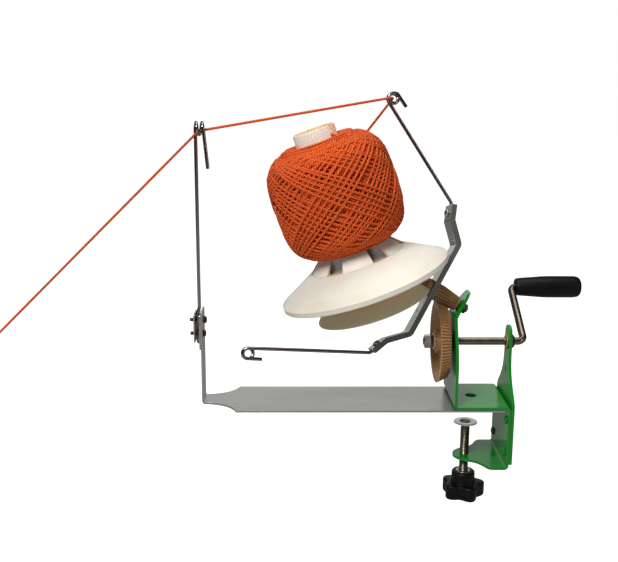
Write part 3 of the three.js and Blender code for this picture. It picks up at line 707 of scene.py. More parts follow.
EYE = (151, 133)
END = Vector((-510, -5.4, 52))
GUIDE = Vector((-277, -5.4, 281.7))
EYE_FRONT = FLYER @ Vector((EYE[0] - 0.8, -6.5, EYE[1] + 0.9))
EYE_BACK = FLYER @ Vector((EYE[0] - 1.2, 7.6, EYE[1]))
CAKE_TOUCH = Vector((-136.8, 64.2, 236.8))
YARN_BEND = 5.4


def strand_route():
    """From the cake up through the flyer's eyelet, over to the guide and off to the knot."""
    corners = [CAKE_TOUCH, EYE_BACK, EYE_FRONT, GUIDE, END]
    bent = rounded(corners, YARN_BEND, 8)
    route = [bent[0]]
    for p in bent[1:]:
        gap = (p - route[-1]).length
        pieces = max(1, round(gap / 14))
        start = route[-1].copy()
        route += [start.lerp(p, (k + 1) / pieces) for k in range(pieces)]
    return route


def make_strand():
    route = strand_route()
    strand = piece("yarn_strand", sweep(route, YARN_R, 16), None, "wool", "yarn_feed", "yarn_span")
    along = (END - GUIDE).normalized()
    knot = make_knot(along)
    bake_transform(strand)


def make_knot(along):
    """An overhand knot pulled tight."""
    turn = along.to_track_quat("Z", "Y").to_matrix().to_4x4()
    path = []
    for a in angles(48):
        r = 1.55 + 0.75 * cos(3 * a)
        path.append(Vector(polar(r, 2 * a, 1.15 * sin(3 * a))))
    knot = sweep(path, 1.2, 12, closed=True)
    return piece("yarn_end_knot", knot, "frame", "wool", "yarn_knot", place=Matrix.Translation(END) @ turn)


make_strand()

# ---------------- base strip and clamp frame

FIXING_HOLE = (4.5, 0)
TAB_HALF = 12.5
TAB_TOP = 99
GUIDE_SCREWS = ((5.5, 86.5), (-5.5, 75))
RIVETS = ((-29, -11), (29, -11), (-29, -46.5), (29, -46.5))
GUIDE_HOLE_R = 2.3
RIVET_HOLE_R = 3.2
SHAFT_HOLE_R = 6.3
PLAIN_HOLE_R = 4
IN_OUTER_PLATE = 41


def mirrored(outline):
    return [(x, -y) for x, y in outline][::-1]


def flipped(outline):
    return [(-x, y) for x, y in outline][::-1]


def hole_x(radius, x, y, z, depth=5):
    return moved(disc(radius, -depth, depth), at_x(x, y, z))


def prism_x(outline, low, high):
    """An outline in YZ, stretched along X."""
    return skin([[(x, y, z) for y, z in outline] for x in (low, high)])


def make_base_strip():
    strip = bent_strip([(TAB_X, TAB_TOP), (TAB_X, STRIP / 2), (33, STRIP / 2)], STRIP, WIDTH, 2.5)
    waist = curve((-273, TAB_HALF + 0.8), ((-256, 16), (-246, 24), (-242, WIDTH / 2 + 0.1), 16))
    waist = [(-300, TAB_HALF), *waist, (-242, 60), (-300, 60)]
    holes = [hole_x(GUIDE_HOLE_R, TAB_X, y, z) for y, z in GUIDE_SCREWS]
    cuts = [prism(outline, -5, TAB_TOP + 5) for outline in (waist, mirrored(waist))]
    piece("base_strip_sheet", strip, "frame", "zinc", "base_strip", cuts=[*cuts, *holes], edge=0.35)


TAB_CENTRE = HUB - TAB_BEHIND_HUB * FLYER_AXIS
TAB_UP = (sin(rad(FLYER_TILT)), cos(rad(FLYER_TILT)))
BEND_Z = TAB_CENTRE.z - (TAB_CENTRE.x - PLATE_X) * TAB_UP[1] / TAB_UP[0]
TAB_TIP = (TAB_CENTRE.x + 18 * TAB_UP[0], TAB_CENTRE.z + 18 * TAB_UP[1])


def make_clamp_frame():
    upright = [TAB_TIP, (PLATE_X, BEND_Z), (PLATE_X, BASE_MID)]
    bracket = [(BACK_X, BASE_MID), (BACK_X, JAW_Z), (-12.3, JAW_Z)]
    sheet = bent_strip(upright + bracket, SHEET, WIDTH, 3.2)
    top = TAB_TIP[1] + 1.6
    edge = WIDTH / 2 + 0.1
    shoulder = curve((edge, 42), ((37, 60), (30, 68), (21, 88), 14), ((18, 96), (15, 99), (13.5, 104), 8),
                     ((12, 114), (6, top), (0, top), 14))
    shoulder += [(0, 130), (60, 130), (60, 42)]
    flank = curve((-12.4, 0), ((-12.4, 8), (-5, 14), (3, 17), 12), ((17, 22), (15, 37.5), (24, edge), 14))
    flank += [(24, 60), (-30, 60), (-30, 0)]
    axle_hole = moved(disc(AXLE_R + 0.4, -TAB_BEHIND_HUB - 5, -TAB_BEHIND_HUB + 5), AXLE)
    cuts = [prism_x(outline, PLATE_X - 8, 20) for outline in (shoulder, flipped(shoulder))]
    cuts += [prism(outline, JAW_Z - 6, JAW_Z + 6) for outline in (flank, mirrored(flank))]
    cuts += [axle_hole, hole_x(SHAFT_HOLE_R, PLATE_X, 0, SHAFT_Z), hole_x(PLAIN_HOLE_R, PLATE_X, 0, 34)]
    cuts += [moved(disc(6, -5, 5), (*FIXING_HOLE, BASE_MID)), moved(disc(4.4, -5, 5), (0, 0, JAW_Z))]
    cuts += [hole_x(RIVET_HOLE_R, BACK_X, y, z) for y, z in RIVETS]
    piece("clamp_frame_sheet", sheet, "frame", "green", "clamp_frame", cuts=cuts, edge=0.7)


def make_outer_plate():
    half = WIDTH / 2
    low = curve((half - 3, -58.5), ((half - 1, -58.5), (half, -57.5), (half, -55.5), 5))
    side = curve((half, 1), ((37.5, 8), (33, 12), (29, 16), 8), ((20, 25), (11.5, 34), (11, 53), 14),
                 ((11, 60), (11, 66), (11, 70), 2), ((11, 77), (7, 82), (4, 82), 8))
    right = low + side
    holes = [(SHAFT_HOLE_R, 0, SHAFT_Z), (PLAIN_HOLE_R, 0, 35), *((RIVET_HOLE_R, y, z) for y, z in RIVETS)]
    cuts = [hole_x(radius, IN_OUTER_PLATE, y, z, 9) for radius, y, z in holes]
    piece("outer_plate_sheet", prism_x(right + flipped(right), *OUTER_X), "frame", "green", "outer_plate",
          cuts=cuts, edge=0.7)


def make_rivets():
    inner = BACK_X - SHEET / 2 - GAP
    outer = OUTER_X[1] + GAP
    profile = [(0, inner - 2.2), (2.2, inner - 2.1), (3.6, inner - 1.4), (4.4, inner - 0.5), (4.5, inner)]
    profile += [(3, inner), (3, outer), (4.2, outer), (3.9, outer + 0.5), (2.6, outer + 1.1)]
    rivet = turned([*profile, (0, outer + 1.2)], 0.3, 36)
    for i, (y, z) in enumerate(RIVETS, 1):
        piece(f"rivet_head_{i}", rivet, "frame", "green", f"rivet_{i}", place=at_x(0, y, z))


def bush(low, high, flange_r, flange, sides):
    """A plain bearing with a flange at its low end."""
    low_end = [(4.3, low), (flange_r, low), (flange_r, low + flange)]
    return turned([*low_end, (6, low + flange), (6, high), (4.3, high)], 0.3, sides)


def make_shaft_bushes():
    flange = 1.2
    for side, face, high in (("left", PLATE_X - SHEET / 2, PLATE_X + SHEET / 2), ("right", *OUTER_X)):
        shape = bush(face - GAP - flange, high, 8, flange, 56)
        piece(f"bush_{side}", shape, "frame", "bronze", f"shaft_bush_{side}", place=SHAFT)


make_base_strip()
make_clamp_frame()
make_outer_plate()
make_rivets()
make_shaft_bushes()

# ---------------- yarn guide

GUIDE_X = -280.6
GUIDE_LOW_X = -282.4
LOOP_R = 5.7
GUIDE_EYE_Z = 284
GUIDE_PITCH = 5.8
GUIDE_PLATE = 1.5
EYE_TURNS = 1.5  # of the guide and of the flyer's eyelets


def make_guide_wire():
    """Up the post, one and a half turns about an axis along X, then a tail hanging down."""
    post = rounded(
        [(GUIDE_LOW_X - 0.4, 6, 62), (GUIDE_LOW_X, 0, 64.5), (GUIDE_LOW_X, 0, 95), (GUIDE_X, 0, 101),
         (GUIDE_X, 0, GUIDE_EYE_Z)], 2.5, 6)
    for t, a in coil(EYE_TURNS):
        across, up = LOOP_R * (cos(a) - 1), LOOP_R * sin(a)
        post.append(Vector((GUIDE_X + GUIDE_PITCH * t, across, GUIDE_EYE_Z + up)))
    end = post[-1]
    tail = rounded([post[-2], end, end + Vector((0.8, 0, -6)), end + Vector((4, 0, -39))], 6, 4)
    piece("guide_wire_rod", sweep(post[:-1] + tail[1:], WIRE_R, 24), "frame", "chrome", "guide_wire")


def pan_screw(head, height, shank, length):
    """A domed head above z = 0 and a threaded shank below."""
    dome = [(0, 0), (head - 0.15, 0), (head, 0.25 * height), (0.93 * head, 0.6 * height)]
    dome += [(0.72 * head, 0.86 * height), (0.4 * head, 0.97 * height), (0, height)]
    return turned(dome, 0.2, 40), thread(shank, 0.32, 0.7, -length, 0.2, 20)


def cross_recess(head, height):
    arm, wide = 0.55 * head, 0.13 * head
    deep = 0.45 * height
    return [box(-arm, arm, -wide, wide, deep, height + 1), box(-wide, wide, -arm, arm, deep, height + 1)]


def make_screw(name, body, look, node, place, head, height, shank, length):
    dome, shank_shape = pan_screw(head, height, shank, length)
    screw = piece(name, dome, body, look, node, place=place, cuts=cross_recess(head, height), edge=0.08)
    piece(f"{name}_thread", shank_shape, body, look, node, place=place, sharp=60)
    return screw


def make_guide_clamps():
    for side, x, z0, z1 in (("inner", TAB_X - 2.8, 58, 95), ("outer", GUIDE_LOW_X - 3.6, 66, 96)):
        outline = fillet([(-11, z0), (11, z0), (11, z1), (-11, z1)], 1.6)
        holes = [hole_x(GUIDE_HOLE_R, x, y, z) for y, z in GUIDE_SCREWS]
        piece(f"guide_plate_{side}", prism_x(outline, x, x + GUIDE_PLATE), "frame", "zinc",
              f"guide_clamp_{side}", cuts=holes, edge=0.25)
    for side, (y, z), length in (("upper", GUIDE_SCREWS[0], 15), ("lower", GUIDE_SCREWS[1], 13.4)):
        make_screw(f"guide_bolt_{side}", "frame", "dark", f"guide_screw_{side}",
                   at_x(TAB_X + STRIP / 2 + GAP, y, z), 3.9, 2.9, 2, length)


make_guide_wire()
make_guide_clamps()

# ---------------- gear teeth

DRIVE_TOOTH = (0.9, 1.15, 0.6, 0.26)  # up, down, root width and tip width
NOSE_TOOTH = (0.8, 1.1, 0.6, 0.26)
RING_TOOTH = (1.1, 0.8, 0.74, 0.42)
RING_FACE = (60, 62.5, 65, 67)  # distances from the apex, along the pitch cone


def tooth_ring(teeth, pitch, mu, up, down, root_width, tip_width, phase):
    """(angle, cone) samples of one ring of bevel teeth, with eased roots and tips."""
    step = 2 * pi / teeth
    samples = []
    for i in range(teeth):
        centre = phase + i * step
        flank = ((root_width, -down), (root_width * 0.86 + tip_width * 0.14, -down * 0.72),
                 ((root_width + tip_width) / 2, (up - down) / 2), (tip_width * 1.06, up * 0.86),
                 (tip_width * 0.72, up))
        for width, height in flank:
            samples.append((centre - width / 2 * step, pitch + height * mu))
        for width, height in flank[::-1]:
            samples.append((centre + width / 2 * step, pitch + height * mu))
    return samples


def tooth_row(samples, z, scale, shrink=0.0):
    return [polar(scale * tan(cone) - shrink, a, z) for a, cone in samples]


def plain_row(samples, radius, z):
    return [polar(radius, a, z) for a, _ in samples]


def facing_back(place, height):
    """A frame `height` up from `place`, looking back down at it."""
    return place @ Matrix.Translation((0, 0, height)) @ Matrix.Rotation(pi, 4, "X")


def gear(name, rows, body, node, place, sharp=38):
    piece(name, skin(rows, close_rows=True), body, "nylon", node, place=place, sharp=sharp)


def make_drive_gear():
    """80 teeth on a wheel, its outer face dished round a boss. Built from the apex, with +Z along -X."""
    samples = tooth_ring(GEAR_TEETH, GEAR_CONE, DRIVE_MU, *DRIVE_TOOTH, 0)
    front, back = APEX_X - GEAR_LEFT, APEX_X - GEAR_RIGHT
    rim = [(4.25, back - 3.3), (11.6, back - 3.3), (12, back - 2.9), (12, back), (31.5, back)]
    face = [(36.9, 0), (36.3, -0.3), (32.4, -6.1), (31.5, -6.5), (13.6, -6.5), (12.4, -6), (12, 0.2),
            (11.7, 0.5), (4.6, 0.5), (4.25, 0.2)]
    rows = [plain_row(samples, r, z) for r, z in rim]
    rows += [tooth_row(samples, back, back, 0.25), tooth_row(samples, back + 0.3, back + 0.3)]
    rows += [tooth_row(samples, back + (front - back) * t, back + (front - back) * t) for t in (0.35, 0.7)]
    rows += [tooth_row(samples, front - 0.3, front - 0.3), tooth_row(samples, front, front, 0.25)]
    rows += [plain_row(samples, r, front + z) for r, z in face]
    place = Matrix.Translation((APEX_X, 0, SHAFT_Z)) @ Matrix.Rotation(-pi / 2, 4, "Y")
    gear("drive_gear_wheel", rows, "crank", "drive_gear", place, 40)


def make_drive_pinion():
    """Sixteen teeth behind the strip, with a flange against it."""
    samples = tooth_ring(PINION_TEETH, PINION_CONE, DRIVE_MU, *DRIVE_TOOTH,
                         rad(180 - FLYER_REST) + pi / PINION_TEETH)
    bore = AXLE_R + 0.3
    low = [(bore, -31), (5.4, -31), (5.6, -30.8), (7.2, -30.2), (7.2, -28.5), (5.6, -28.3)]
    planes = [(79.7, 79.7), (80, 80), (85, 85), (91, 91), (96.5, 96.5), (100, 96.5), (103.5, 96.5)]
    high = [(9.4, -4.5), (9.7, -4.2), (9.7, -3.35), (9.4, -3.05), (bore, -3.05)]
    rows = [plain_row(samples, r, z) for r, z in low]
    rows += [tooth_row(samples, z - HUB_FROM_APEX, s, 0 if i else 0.2) for i, (z, s) in enumerate(planes)]
    rows += [plain_row(samples, r, z) for r, z in high]
    gear("drive_pinion_teeth", rows, "flyer", "drive_pinion", FLYER)


def make_nose_pinion():
    """In front of the strip: a collar, a barrel and ten teeth."""
    bore = AXLE_R + 0.3
    barrel = [(bore, 3.05), (9, 3.05), (9, 7.6), (8, 9), (5.2, 9.2), (5.2, 32), (bore, 32)]
    piece("nose_pinion_barrel", turned(barrel, 0.3), "flyer", "nylon", "nose_pinion", place=FLYER)
    nose = tooth_ring(NOSE_TEETH, NOSE_CONE, RING_MU, *NOSE_TOOTH, rad(FLYER_REST))
    planes = [distance * cos(NOSE_CONE) for distance in RING_FACE]
    rows = [tooth_row(nose, z, z) for z in planes]
    rows = [plain_row(nose, bore, planes[0]), *rows, plain_row(nose, bore, planes[-1])]
    gear("nose_pinion_teeth", rows, "flyer", "nose_pinion", facing_back(FLYER, HUB_TO_APEX2))


def make_ring_gear():
    samples = tooth_ring(RING_TEETH, RING_CONE, RING_MU, *RING_TOOTH, 0)
    planes = [distance * cos(RING_CONE) for distance in RING_FACE]
    top = SKIRT_BELOW_APEX2 - planes[0]
    bottom = SKIRT_BELOW_APEX2 - planes[-1]
    rows = [tooth_row(samples, z, z) for z in planes]
    outside = [(52.2, bottom), (52.5, bottom + 0.3), (52.5, 16), (51, 19.7), (49.3, 19.7), (49.3, top)]
    rows += [plain_row(samples, r, SKIRT_BELOW_APEX2 - z) for r, z in outside]
    gear("ring_gear_teeth", rows, "spindle", "ring_gear", facing_back(SPINDLE, SKIRT_BELOW_APEX2))


make_drive_gear()
make_drive_pinion()
make_nose_pinion()
make_ring_gear()

# ---------------- crank


def make_crank():
    path = rounded([(-40.5, 0, 0), (57.5, 0, 0), (57.5, 0, CRANK_ARM), (127, 0, CRANK_ARM)], 7, 12)
    end = moved(thread(SHAFT_R, 0.6, 1.25, -48, -40, 32), ALONG_X)
    collar = [(4.2, 43.6), (8, 43.6), (7.8, 44.4), (6, 47), (4.2, 47)]
    pieces(
        "crank", ARM,
        ("crank_bar", sweep(path, SHAFT_R, 32), "steel", "crank_rod"),
        ("crank_bar_thread", end, "steel", "crank_rod", ("sharp", 60)),
    )
    bright = ("material", BRIGHT_PLATE)
    pieces(
        "crank", SHAFT,
        ("shaft_collar", turned(collar, 0.3, 56), "dark", "crank_collar"),
        ("gear_plate_washer", ring(4.2, 8.5, -37.5, -35.8), "chrome", "gear_washer", bright),
        ("gear_spring_washer", spring_washer(), "steel", "spring_washer"),
        ("gear_lock_nut", hex_nut(13, 4.2, -47, -40.4), "chrome", "gear_nut", ("sharp", 25), bright),
    )
    make_grip()


def spring_washer():
    """One split turn of square wire."""
    rows = []
    steps = 60
    section = ((4.3, 0), (6.5, 0), (6.5, 1.7), (4.3, 1.7))
    for i in range(steps + 1):
        a = 2 * pi * (0.02 + 0.96 * i / steps)
        z = -40.05 + 0.45 * i / steps
        rows.append([polar(r, a, z + h) for r, h in section])
    return skin(rows)


def make_grip():
    left, right = 62.3, 134.3
    profile = [(0, left + 60), (4.3, left + 60), (4.3, left + 3), (5.7, left), (8.4, left), (9.2, left + 0.8)]
    profile += [(9.9, left + 4), (11, left + 20), (11.8, left + 30), (12, left + 38), (12, right - 9)]
    profile += [(11.8, right - 6), (11.2, right - 3.2), (10, right - 1.1), (8.2, right), (3.2, right)]
    profile += [(3, right - 1.4), (0, right - 1.4)]
    place = ARM @ Matrix.Translation((0, 0, CRANK_ARM)) @ ALONG_X
    piece("crank_grip", turned(profile, 0.6, 72, 4), "grip", "black", "crank_handle", place=place)


make_crank()

# ---------------- flyer

STRIP_W = 21
STRIP_T = 5.5
ARM_CORNERS = (Vector((52.8, 0)), Vector((71.3, 18.4)), Vector((86.6, 24.5)))
ARM_TIP = (ARM_CORNERS[2] - ARM_CORNERS[1]).normalized()
ARM_OUT = Vector((ARM_TIP.y, -ARM_TIP.x))
WIRE_SIDE = 2  # the wires sit this far off the middle of the strip
SOCKET = 14  # depth of the wire's hole in the end of the strip
SCREW_ALONG = -8
EYE_R = 5.2
EYE_PITCH = 4.3


def on_arm(along, out):
    return ARM_CORNERS[2] + ARM_TIP * along + ARM_OUT * out


def arm_frame(along, out, across):
    """A frame on the arm's end: x along the arm, y across it, z out of its inner face."""
    p = on_arm(along, out)
    x, y, z = Vector((ARM_TIP.x, 0, ARM_TIP.y)), Vector((0, 1, 0)), Vector((-ARM_TIP.y, 0, ARM_TIP.x))
    m = Matrix((x, y, z)).transposed().to_4x4()
    m.translation = (p.x, across, p.y)
    return m


def make_flyer_strip():
    """Bent flat bar, drilled in each end for a wire and tapped from its inner face for a screw."""
    half = [tuple(p) for p in ARM_CORNERS[::-1]]
    strip = bent_strip(half + flipped(half), STRIP_T, STRIP_W, 6)
    socket = moved(disc(WIRE_R + GAP, -SOCKET - GAP, 3), arm_frame(0, 0, WIRE_SIDE) @ ALONG_X)
    tapped = moved(disc(2.3, 0, 6), arm_frame(SCREW_ALONG, 0, WIRE_SIDE))
    holes = [disc(AXLE_R + 0.6, -5, 5), moved(disc(1.6, -5, 5, 24), (-27, 0, 0))]
    for hole in (socket, tapped):
        holes += [hole, moved(hole, about_z(180))]
    piece("flyer_bar", strip, "flyer", "zinc", "flyer_strip", place=FLYER, cuts=holes, edge=0.5)


def flyer_wire_path():
    """Out of the strip's end, straight up past the skirt, then one and a half turns and a short tail."""
    foot, knee = on_arm(-SOCKET, 0), on_arm(3, 0)
    eye = Vector(EYE)
    run = (eye - Vector((101.5, 33))).normalized()
    side = Vector((-run.y, run.x))

    def at(p, across):
        return Vector((p.x, across, p.y))

    start = eye + side * EYE_R
    path = rounded([at(p, WIRE_SIDE) for p in (foot, knee, start)], 3.5, 7)
    for t, a in coil(EYE_TURNS):
        p = eye + side * EYE_R * cos(a) + run * EYE_R * sin(a)
        path.append(at(p, WIRE_SIDE - EYE_PITCH * t))
    last = path[-1]
    path.append(last + at(run * -15, -0.6))
    return path


def make_flyer_ends():
    for side, place in (("upper", FLYER), ("lower", FLYER_BACK)):
        rod = sweep(flyer_wire_path(), WIRE_R, 24)
        piece(f"flyer_rod_{side}", rod, "flyer", "chrome", f"flyer_wire_{side}", place=place)
        screw = place @ arm_frame(SCREW_ALONG, -STRIP_T / 2 - GAP, WIRE_SIDE)
        make_screw(f"wire_bolt_{side}", "flyer", "zinc", f"wire_screw_{side}", screw, 4, 2.7, 2,
                   STRIP_T / 2 - WIRE_R)


def make_axle():
    back = -TAB_BEHIND_HUB - SHEET / 2
    bore = AXLE_R + 0.25
    rod = turned([(0, -33), (AXLE_R, -33), (AXLE_R, 56.5), (0, 56.5)], 0.4, 40)
    pieces(
        "frame", AXLE,
        ("axle_rod", rod, "steel", "flyer_axle"),
        ("axle_rod_thread", thread(AXLE_R, 0.45, 1.0, -43, -32.8, 28), "steel", "flyer_axle", ("sharp", 60)),
        ("axle_plate_washer", ring(bore, 5.6, back - 1.3, back - GAP), "dark", "axle_washer"),
        ("axle_lock_nut", hex_nut(10, bore, back - 6.6, back - 1.6), "dark", "axle_nut", ("sharp", 25)),
        ("axle_shim_rear", ring(3.4, 5, -31.7, -31.25, 0.1), "steel", "thrust_washer_rear"),
        ("axle_shim_front", ring(3.4, 5, 38.4, 41.6, 0.2), "steel", "thrust_washer_front"),
    )


make_flyer_strip()
make_flyer_ends()
make_axle()

# ---------------- housing, post and spindle


def make_housing():
    """A cone with a socket for the axle, a slot for the flyer's nose and a seat for the post."""
    wall = [(57.4, -26), (60, -26), (60, -25), (24.6, 19), (4.4, 19), (4.4, 16), (23, 16)]
    to_spindle = SPINDLE.inverted() @ AXLE
    bore = AXLE_R + 0.3
    cone = turned(wall, 0.9, 128)
    slot = moved(disc(10.5, -20, 41.9), to_spindle)
    # The housing cone's colour carries painted shade, browner towards its top under the skirt.
    piece("housing_cone", cone, "frame", "cream", "gear_housing", place=SPINDLE, cuts=[slot],
          material=cream_with_painted_shade("housing plastic", -26, 24))
    # The doubled point leaves the far rim sharp.
    socket = turned([(bore, 42), (6.5, 42), (6.5, 57.4), (6.5, 57.4), (bore, 57.4)], 0.4)
    seat = turned([(4.4, 12), (10, 12), (10, 17), (4.4, 17)], 0.5)
    for name, shape in (("housing_socket", moved(socket, to_spindle)), ("housing_seat", seat)):
        piece(name, shape, "frame", "cream", "gear_housing", place=SPINDLE)


def make_post():
    rod = turned([(0, 14), (4, 14), (4, 160), (3.2, 161), (0, 161)], 0.4, 40)
    cap = turned([(4.2, 157.3), (7, 157.3), (7, 158.6), (5.6, 159.8), (4.2, 159.8)], 0.3, 40)
    pieces(
        "frame", SPINDLE,
        ("post_rod", rod, "steel", "spindle_post"),
        ("post_rod_thread", thread(4, 0.6, 1.25, 4, 14.5, 28), "steel", "spindle_post", ("sharp", 60)),
        ("post_plate_washer", ring(4.25, 9, 10.4, 11.7), "steel", "post_washer"),
        ("post_lock_nut", hex_nut(13, 4.25, 4.6, 10.1), "steel", "post_nut", ("sharp", 25)),
        ("post_push_cap", cap, "chrome", "post_cap"),
    )


CORE_PROFILE = [
    (49.2, 23.3), (49.2, 27.6), (39.5, 37), (31.5, 48), (26, 66), (22, 150), (21.7, 165.5), (19.7, 165.5),
    (19.7, 157), (6.3, 157), (6.3, 153), (20, 153), (24, 66), (29.5, 48), (37.5, 37), (44, 29), (44, 26.3),
    (6.3, 26.3), (6.3, 23.3),
]
WINDOWS = 6
WINDOW_AT = -2.7  # degrees
WINDOW_WIDTH = 26  # degrees
LIP_SLOT_AT = -38


def make_core():
    """Hollow and waisted, with windows round its foot and one slot in its lip for the yarn's end."""
    cuts = []
    spread = 58 * tan(rad(WINDOW_WIDTH / 2)) + 2
    for i in range(WINDOWS):
        turn = about_z(WINDOW_AT + i * 360 / WINDOWS)
        cuts.append(moved(prism([(12, 0), (70, -spread), (70, spread)], 26.6, 72), turn))
    cuts.append(moved(box(15, 26, -3.5, 3.5, 146, 170), about_z(LIP_SLOT_AT)))
    sides = 144
    path = fillet(CORE_PROFILE, [0.05, 0.1, *[0.7] * (len(CORE_PROFILE) - 2)], 3)
    lip = max(range(len(path)), key=lambda i: path[i][1])
    points, faces = lathe(path, sides)
    # v 0 marks the inner faces, whose colour gets painted shade.
    uvs = [((0, 1.0 if min(face) // sides < lip else 0.0),) * 4 for face in faces]
    piece("core_moulding", (points, faces, uvs), "spindle", "cream", "spindle_core", place=SPINDLE, cuts=cuts,
          edge=0.35, material=core_look_with_painted_shade())


def make_skirt():
    """A shallow cone with a plain lip. v runs down the cone from its inner edge, so the ribs follow it."""
    profile = [(49.6, 27.3), (88.8, 5.6), (88.8, 0), (86.4, 0), (86.3, 4.2), (52, 22.6)]
    profile += [(52, 20), (36, 20), (36, 23), (49.6, 23)]
    path = fillet(profile, [0.1, *[1.1] * (len(profile) - 2), 0.1], 4)
    sides = 160
    points, faces = lathe(path, sides)
    uvs = []
    for face in faces:
        corners = []
        for index in face:
            r, z = path[index // sides]
            on_top = r > 49.6 and z > 27.3 - (r - 49.6) * 21.7 / 39.2 - 1.2
            corners.append(((index % sides) / sides, (r - 49.6) * 1.143 if on_top else 0.0))
        if max(c[0] for c in corners) - min(c[0] for c in corners) > 0.5:
            corners = [(u + 1 if u < 0.5 else u, v) for u, v in corners]
        uvs.append(tuple(corners))
    piece("skirt_moulding", (points, faces, uvs), "spindle", "cream", "spindle_skirt", place=SPINDLE,
          material=SKIRT_LOOK)


def make_spindle_bushes():
    for side, low, high in (("lower", 21.4, 26), ("upper", 151.2, 156.6)):
        piece(f"core_bush_{side}", bush(low, high, 8.5, 1.5, 48), "spindle", "bronze", f"spindle_bush_{side}",
              place=SPINDLE)


make_housing()
make_post()
make_core()
make_skirt()
make_spindle_bushes()

# ---------------- the cake of yarn

CAKE_SIDE = (  # height, radius
    (41, 40), (46, 50), (54, 58.5), (72, 63.2), (98, 63.8), (124, 62.6), (137, 58.5), (148, 49), (153.5, 37),
    (155, 22.8),
)
CAKE_MIDDLE = 98
LAYERS = 3
LAYER_DEPTH = 2.2
BUNDLES = 7
BUNDLE = 6  # strands in each bundle
ANY_PHASE = (0, 6.28)


def cake_radius(k):
    """The cake's outer radius at height k, along CAKE_SIDE."""
    if k <= CAKE_SIDE[0][0]:
        return CAKE_SIDE[0][1]
    for (k0, r0), (k1, r1) in zip(CAKE_SIDE, CAKE_SIDE[1:]):
        if k <= k1:
            return r0 + (r1 - r0) * ((k - k0) / (k1 - k0))
    return CAKE_SIDE[-1][1]


def smooth_radius(k):
    return sum(cake_radius(k + d) for d in (-5, -2.5, 0, 2.5, 5)) / 5 + 0.9


def wrap_path(phase, reach, depth, over, rng):
    """One tilted turn round the cake. Its climbing half lies over the other, or under it if `over` is -1."""
    path = []
    wobble = rng.uniform(*ANY_PHASE)
    for a in angles(88):
        k = CAKE_MIDDLE + reach * sin(a - phase)
        under = 0.4 * (1 - over * cos(a - phase))
        r = smooth_radius(k) - YARN_R - depth - under + 0.15 * sin(5 * a + wobble)
        path.append(Vector(polar(r, a, k)))
    return path


def shoulder_path(radius, k, phase, tilt):
    """A turn round the cake's shoulder or foot, leaning by `tilt` millimetres."""
    return [Vector(polar(radius, a, k + tilt * sin(a - phase))) for a in angles(72)]


def merged(parts):
    points, faces, uvs = [], [], []
    for shape in parts:
        base = len(points)
        points += shape[0]
        faces += [tuple(i + base for i in f) for f in shape[1]]
        uvs += shape[2]
    return points, faces, uvs


def make_cake():
    rng = random.Random(7)
    deep = LAYERS * LAYER_DEPTH
    outside = [(cake_radius(k) - deep - 0.4, k) for k in range(46, 150, 4)]
    profile = [(37.6, 42.2), *outside, (34, 151), (23.4, 152.4), (22.9, 147), (26.7, 66), (32.2, 48.6)]
    piece("cake_heart", lathe(profile, 96), "cake", "wool", "yarn_cake", place=SPINDLE,
          material=make_heart_painted_shade_look())
    strands = []

    def wind(path):
        strands.append(sweep(path, YARN_R * rng.uniform(0.94, 1.06), 7, closed=True))

    for layer in range(LAYERS):
        for j in range(BUNDLES * BUNDLE):
            strand, bundle = divmod(j, BUNDLES)
            turn = bundle + 0.86 * (strand + 2.5 * layer) / BUNDLE
            phase = 2 * pi / BUNDLES * turn + rng.uniform(-0.012, 0.012)
            reach = 52.5 - 5 * strand / BUNDLE + rng.uniform(-1.2, 1.2)
            over = -1 if bundle % 2 else 1
            wind(wrap_path(phase, reach, (LAYERS - 1 - layer) * LAYER_DEPTH, over, rng))
    for j in range(22):
        k = 138 + 15.2 * j / 22
        r = smooth_radius(k) - YARN_R - rng.uniform(1.4, 2.4)
        wind(shoulder_path(r, k - 1, rng.uniform(*ANY_PHASE), 2.2))
    for j in range(8):
        wind(shoulder_path(35 - 1.4 * j, 152.8 - 0.05 * j, rng.uniform(*ANY_PHASE), 0.4))
    for j in range(12):
        k = 43.5 + 9 * j / 12
        r = cake_radius(k) - YARN_R - rng.uniform(1.2, 2.2)
        wind(shoulder_path(r, k, rng.uniform(*ANY_PHASE), 1.2))
    piece("cake_strands", merged(strands), "cake", "wool", "yarn_cake", place=SPINDLE, sharp=180)
    make_start_end()


def make_heart_painted_shade_look():
    # The cake's heart, under the strands: the wool's colour painted dark, as painted shade.
    n = Nodes("wool in shade")
    n.colour(n.noise(500, 4.0), (0.3, (0.13, 0.012, 0.004)), (0.7, (0.30, 0.035, 0.010)))
    n.bump(n.noise(900, 3.0), 0.6 * MM)
    n.set(Roughness=0.95)
    return n.material


def make_start_end():
    """The yarn's first end, from under the cake through the slot in the core's lip."""
    corners = [(27, 0, 152.8), (22.8, 0, 154.4), (20.6, 0.4, 154.7), (17.2, 1.0, 154.9), (16.4, 2.2, 154.6)]
    strand = moved(sweep(rounded(corners, 0.9, 4), YARN_R * 0.9, 10), about_z(LIP_SLOT_AT))
    piece("cake_start_end", strand, "cake", "wool", "yarn_cake", place=SPINDLE)


make_cake()

# ---------------- clamp screw, pad and knob

PAD_TOP = -23.8
LOBES = 5


def make_pad():
    """A dished washer, loose on the screw's end."""
    profile = [(3.3, -1.6), (4.9, -1.6), (6, 0), (12.6, 0), (12.6, -1), (6.4, -1), (5.4, -2.6), (3.3, -2.6)]
    dish = turned([(r, PAD_TOP + z) for r, z in profile], 0.3, 72)
    piece("pad_dish", dish, "pad", "chrome", "clamp_pad", material=BRIGHT_PLATE)


